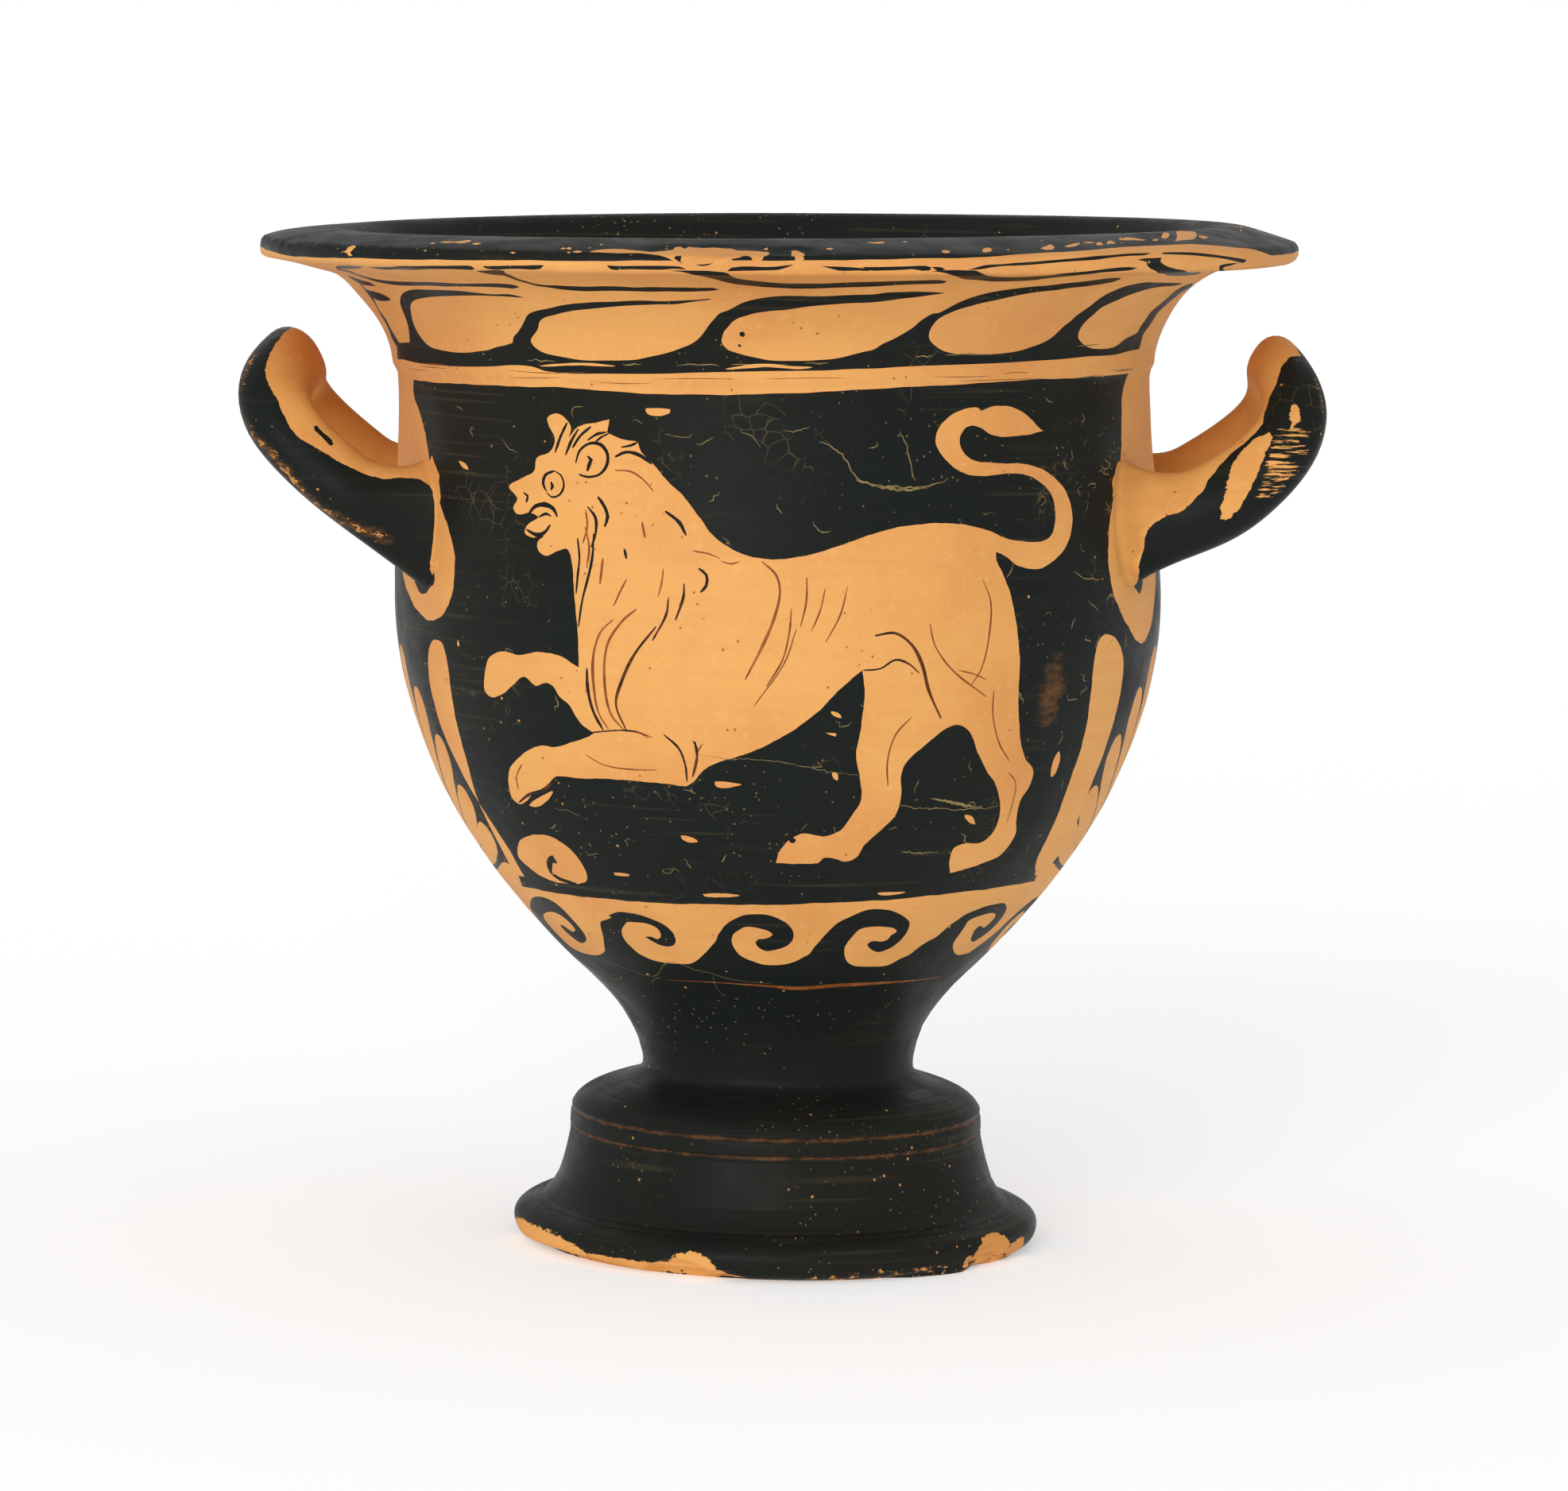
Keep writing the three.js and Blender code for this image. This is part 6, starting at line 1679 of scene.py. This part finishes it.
def make_gloss():
    m = Tree("gloss_black")
    big = m.noise(9.0, 3.0, 0.5)
    mid = m.noise(75.0, 4.0, 0.6)
    fine = m.noise(900.0, 2.0, 0.6)
    streak = m.noise(70.0, 3.0, 0.6, m.scaled(0.3, 0.3, 6.0))
    c = m.mix(m.step(big, 0.4, 0.65), BLACK, BLACK_WARM)
    c = m.mix(m.step(mid, 0.55, 0.8, 0.0, 0.5), c, srgb(35, 38, 35))
    c = m.mix(m.step(streak, 0.55, 0.8, 0.0, 0.45), c, srgb(40, 39, 32))
    # turning lines
    turned = m.noise(620.0, 2.0, 0.5, m.scaled(0.02, 0.02, 1.0))
    c = m.mix(m.math("MULTIPLY", m.step(turned, 0.58, 0.68, 0.0, 0.36), m.step(m.noise(17.0, 2.0), 0.44, 0.6)), c, srgb(66, 60, 44))
    # crackle, only in patches
    crackle = m.step(m.rims(215.0, m.shaken(0.008, 90.0)), 0.040, 0.012)
    patchy = m.math("MULTIPLY", m.step(m.noise(38.0, 4.0, 0.65), 0.57, 0.66), m.step(m.height(), 0.085, 0.12))
    c = m.mix(m.math("MULTIPLY", m.math("MULTIPLY", crackle, 0.30), patchy), c, srgb(112, 98, 66))
    dust = m.math("MULTIPLY", m.step(m.cells(430.0), 0.15, 0.09), m.step(m.noise(30.0, 3.0), 0.49, 0.60))
    c = m.mix(m.math("MULTIPLY", dust, 0.8), c, srgb(120, 104, 70))
    # thin gloss lets the clay through
    thin_and_shade = m.attr("thin_and_shade")
    mott = m.math("ADD", m.math("MULTIPLY", thin_and_shade, 0.9), m.math("MULTIPLY", m.math("SUBTRACT", m.noise(240.0, 4.0, 0.7, m.scaled(1, 1, 2.2)), 0.5), 1.1))
    c = m.mix(m.step(mott, 0.42, 0.95, 0.0, 0.75), c, srgb(112, 74, 42))
    # worn through to the clay
    clay, _ = clay_colour(m)
    # bare clay turns browner where the gloss was thin, and with the painted shade on the handles' inner faces
    clay = m.mix(m.math("MULTIPLY", thin_and_shade, m.step(m.noise(70.0, 4.0, 0.6), 0.3, 0.7, 0.35, 0.8)), clay, srgb(160, 98, 48))
    w = m.attr("wear")
    edge = m.math("ADD", w, m.math("MULTIPLY", m.math("SUBTRACT", m.noise(330.0, 5.0, 0.7, m.scaled(1, 1, 1.6)), 0.5), 1.15))
    worn = m.step(edge, 0.50, 0.56)
    # scraped in fine level lines
    level = m.noise(430.0, 3.0, 0.6, m.scaled(0.30, 0.30, 3.2))
    level = m.math("ADD", m.math("MULTIPLY", m.attr("lines"), 0.50), m.math("MULTIPLY", m.math("SUBTRACT", level, 0.5), 1.3))
    worn = m.math("MAXIMUM", worn, m.math("MULTIPLY", m.step(level, 0.50, 0.60), m.step(m.attr("lines"), 0.1, 0.5)))
    # where the brush stopped
    bare = m.math("ADD", m.attr("bare"), m.math("MULTIPLY", m.math("SUBTRACT", m.noise(260.0, 4.0, 0.65), 0.5), 0.42))
    worn = m.math("MAXIMUM", worn, m.step(bare, 0.485, 0.515))
    specks = m.math("MULTIPLY", m.step(m.cells(210.0), 0.10, 0.06), m.step(m.noise(24.0, 2.0), 0.50, 0.60))
    worn = m.math("MAXIMUM", worn, m.math("MULTIPLY", specks, 0.75))
    c = m.mix(worn, c, clay)
    m.set("Base Color", c)
    rough = m.math("ADD", m.step(mid, 0.35, 0.7, 0.36, 0.50), m.math("MULTIPLY", worn, 0.35), True)
    m.set("Roughness", rough)
    m.set("Specular IOR Level", 0.055)
    h = m.math("ADD", m.math("MULTIPLY", m.noise(140.0, 4.0, 0.6, m.scaled(0.6, 0.6, 2.6)), 0.5), m.math("MULTIPLY", fine, 0.25))
    h = m.math("SUBTRACT", h, m.math("MULTIPLY", worn, 0.9))
    m.set("Normal", m.bump(h, 0.28, 0.0004))
    return m.mat


def make_clay():
    m = Tree("clay_orange")
    c, fine = clay_colour(m)
    c = m.mix(m.math("MULTIPLY", m.attr("thin_and_shade"), m.step(m.noise(70.0, 4.0, 0.6), 0.3, 0.7, 0.35, 0.8)), c, srgb(160, 98, 48))
    m.set("Base Color", c)
    m.set("Roughness", m.step(fine, 0.3, 0.7, 0.55, 0.68))
    m.set("Specular IOR Level", 0.2)
    h = m.math("ADD", m.math("MULTIPLY", m.noise(120.0, 4.0, 0.6, m.scaled(0.6, 0.6, 2.4)), 0.5), m.math("MULTIPLY", fine, 0.5))
    m.set("Normal", m.bump(h, 0.25, 0.0004))
    return m.mat


def make_wash():
    m = Tree("dilute_brown")
    c = m.mix(m.step(m.noise(260.0, 3.0, 0.6), 0.35, 0.7), BROWN, srgb(152, 90, 44))
    m.set("Base Color", c)
    m.set("Roughness", 0.5)
    m.set("Specular IOR Level", 0.15)
    return m.mat


def make_dark():
    m = Tree("relief_line")
    c = m.mix(m.step(m.noise(150.0, 3.0, 0.6), 0.42, 0.58), srgb(34, 26, 20), srgb(92, 50, 26))
    m.set("Base Color", c)
    m.set("Roughness", 0.45)
    m.set("Specular IOR Level", 0.1)
    return m.mat


def make_crack():
    m = Tree("crack_fill")
    c = m.mix(m.step(m.noise(300.0, 3.0, 0.6), 0.35, 0.7), srgb(138, 118, 76), srgb(92, 80, 54))
    m.set("Base Color", c)
    m.set("Roughness", 0.7)
    m.set("Specular IOR Level", 0.1)
    return m.mat


for mm in (make_gloss(), make_clay(), make_wash(), make_crack(), make_dark()):
    mesh.materials.append(mm)
mesh.polygons.foreach_set("material_index", M.astype(np.int32))
mesh.polygons.foreach_set("use_smooth", np.ones(len(T), bool))
mesh.update()
vn = np.zeros(len(FV) * 3, np.float32)
mesh.vertex_normals.foreach_get("vector", vn)
vn = vn.reshape(-1, 3).astype(float)
wall_k = np.nonzero(K == 0)[0]
print("normals agree:", round(float((vn[wall_k] * FN[wall_k]).sum(1).mean()), 3))
k = np.nonzero(np.linalg.norm(N, axis=1) > 0.5)[0]
deep = np.ones(len(FV), bool)
vn[k] = FN[k]
mesh.normals_split_custom_set_from_vertices([tuple(x) for x in vn])

krater = bpy.data.objects.new("krater_body", mesh)
bpy.context.collection.objects.link(krater)
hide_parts("krater")
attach(krater, "root")

# ---- floor, light and camera ------------------------------------------------------------
s = 6.0
fm = bpy.data.meshes.new("floor")
fm.from_pydata([(-s, -s, 0), (s, -s, 0), (s, s * 2, 0), (-s, s * 2, 0)], [], [(0, 1, 2, 3)])
floor = bpy.data.objects.new("floor", fm)
bpy.context.collection.objects.link(floor)
fmat = bpy.data.materials.new("floor_plain")
fmat.use_nodes = True
fb = fmat.node_tree.nodes["Principled BSDF"]
fb.inputs["Base Color"].default_value = (0.72, 0.72, 0.72, 1)
fb.inputs["Roughness"].default_value = 0.9
fb.inputs["Specular IOR Level"].default_value = 0.1
fb.inputs["Emission Color"].default_value = (1, 1, 1, 1)
fb.inputs["Emission Strength"].default_value = 0.40
fm.materials.append(fmat)

world = bpy.data.worlds.new("soft")
bpy.context.scene.world = world
world.use_nodes = True
wt = world.node_tree
bg = wt.nodes["Background"]
path = wt.nodes.new("ShaderNodeLightPath")
bright = wt.nodes.new("ShaderNodeMapRange")
bright.inputs["To Min"].default_value = 0.69
bright.inputs["To Max"].default_value = 1.0
wt.links.new(path.outputs["Is Camera Ray"], bright.inputs["Value"])
wt.links.new(bright.outputs["Result"], bg.inputs["Strength"])
bg.inputs["Color"].default_value = (1.0, 1.0, 1.0, 1)


sun = bpy.data.lights.new("front", "SUN")
sun.energy = 1.65
sun.angle = math.radians(40)
so = bpy.data.objects.new("front", sun)
so.rotation_euler = (Vector((0.30, 1.0, -0.30))).to_track_quat("-Z", "Y").to_euler()
bpy.context.collection.objects.link(so)

cam_data = bpy.data.cameras.new("camera")
cam_data.lens = 8240 / 1973 * 36.0
cam_data.sensor_width = 36.0
cam_data.sensor_fit = "HORIZONTAL"
cam_data.clip_start, cam_data.clip_end = 0.05, 50
cam = bpy.data.objects.new("camera", cam_data)
pitch, roll = math.radians(5.97), math.radians(1.1)
from mathutils import Matrix
cam.matrix_world = Matrix.Translation((0.0018, -1.75, 0.3165)) @ Matrix.Rotation(math.pi / 2 - pitch, 4, "X") @ Matrix.Rotation(roll, 4, "Z")
bpy.context.collection.objects.link(cam)
bpy.context.scene.camera = cam
bpy.context.scene.view_settings.view_transform = "Standard"
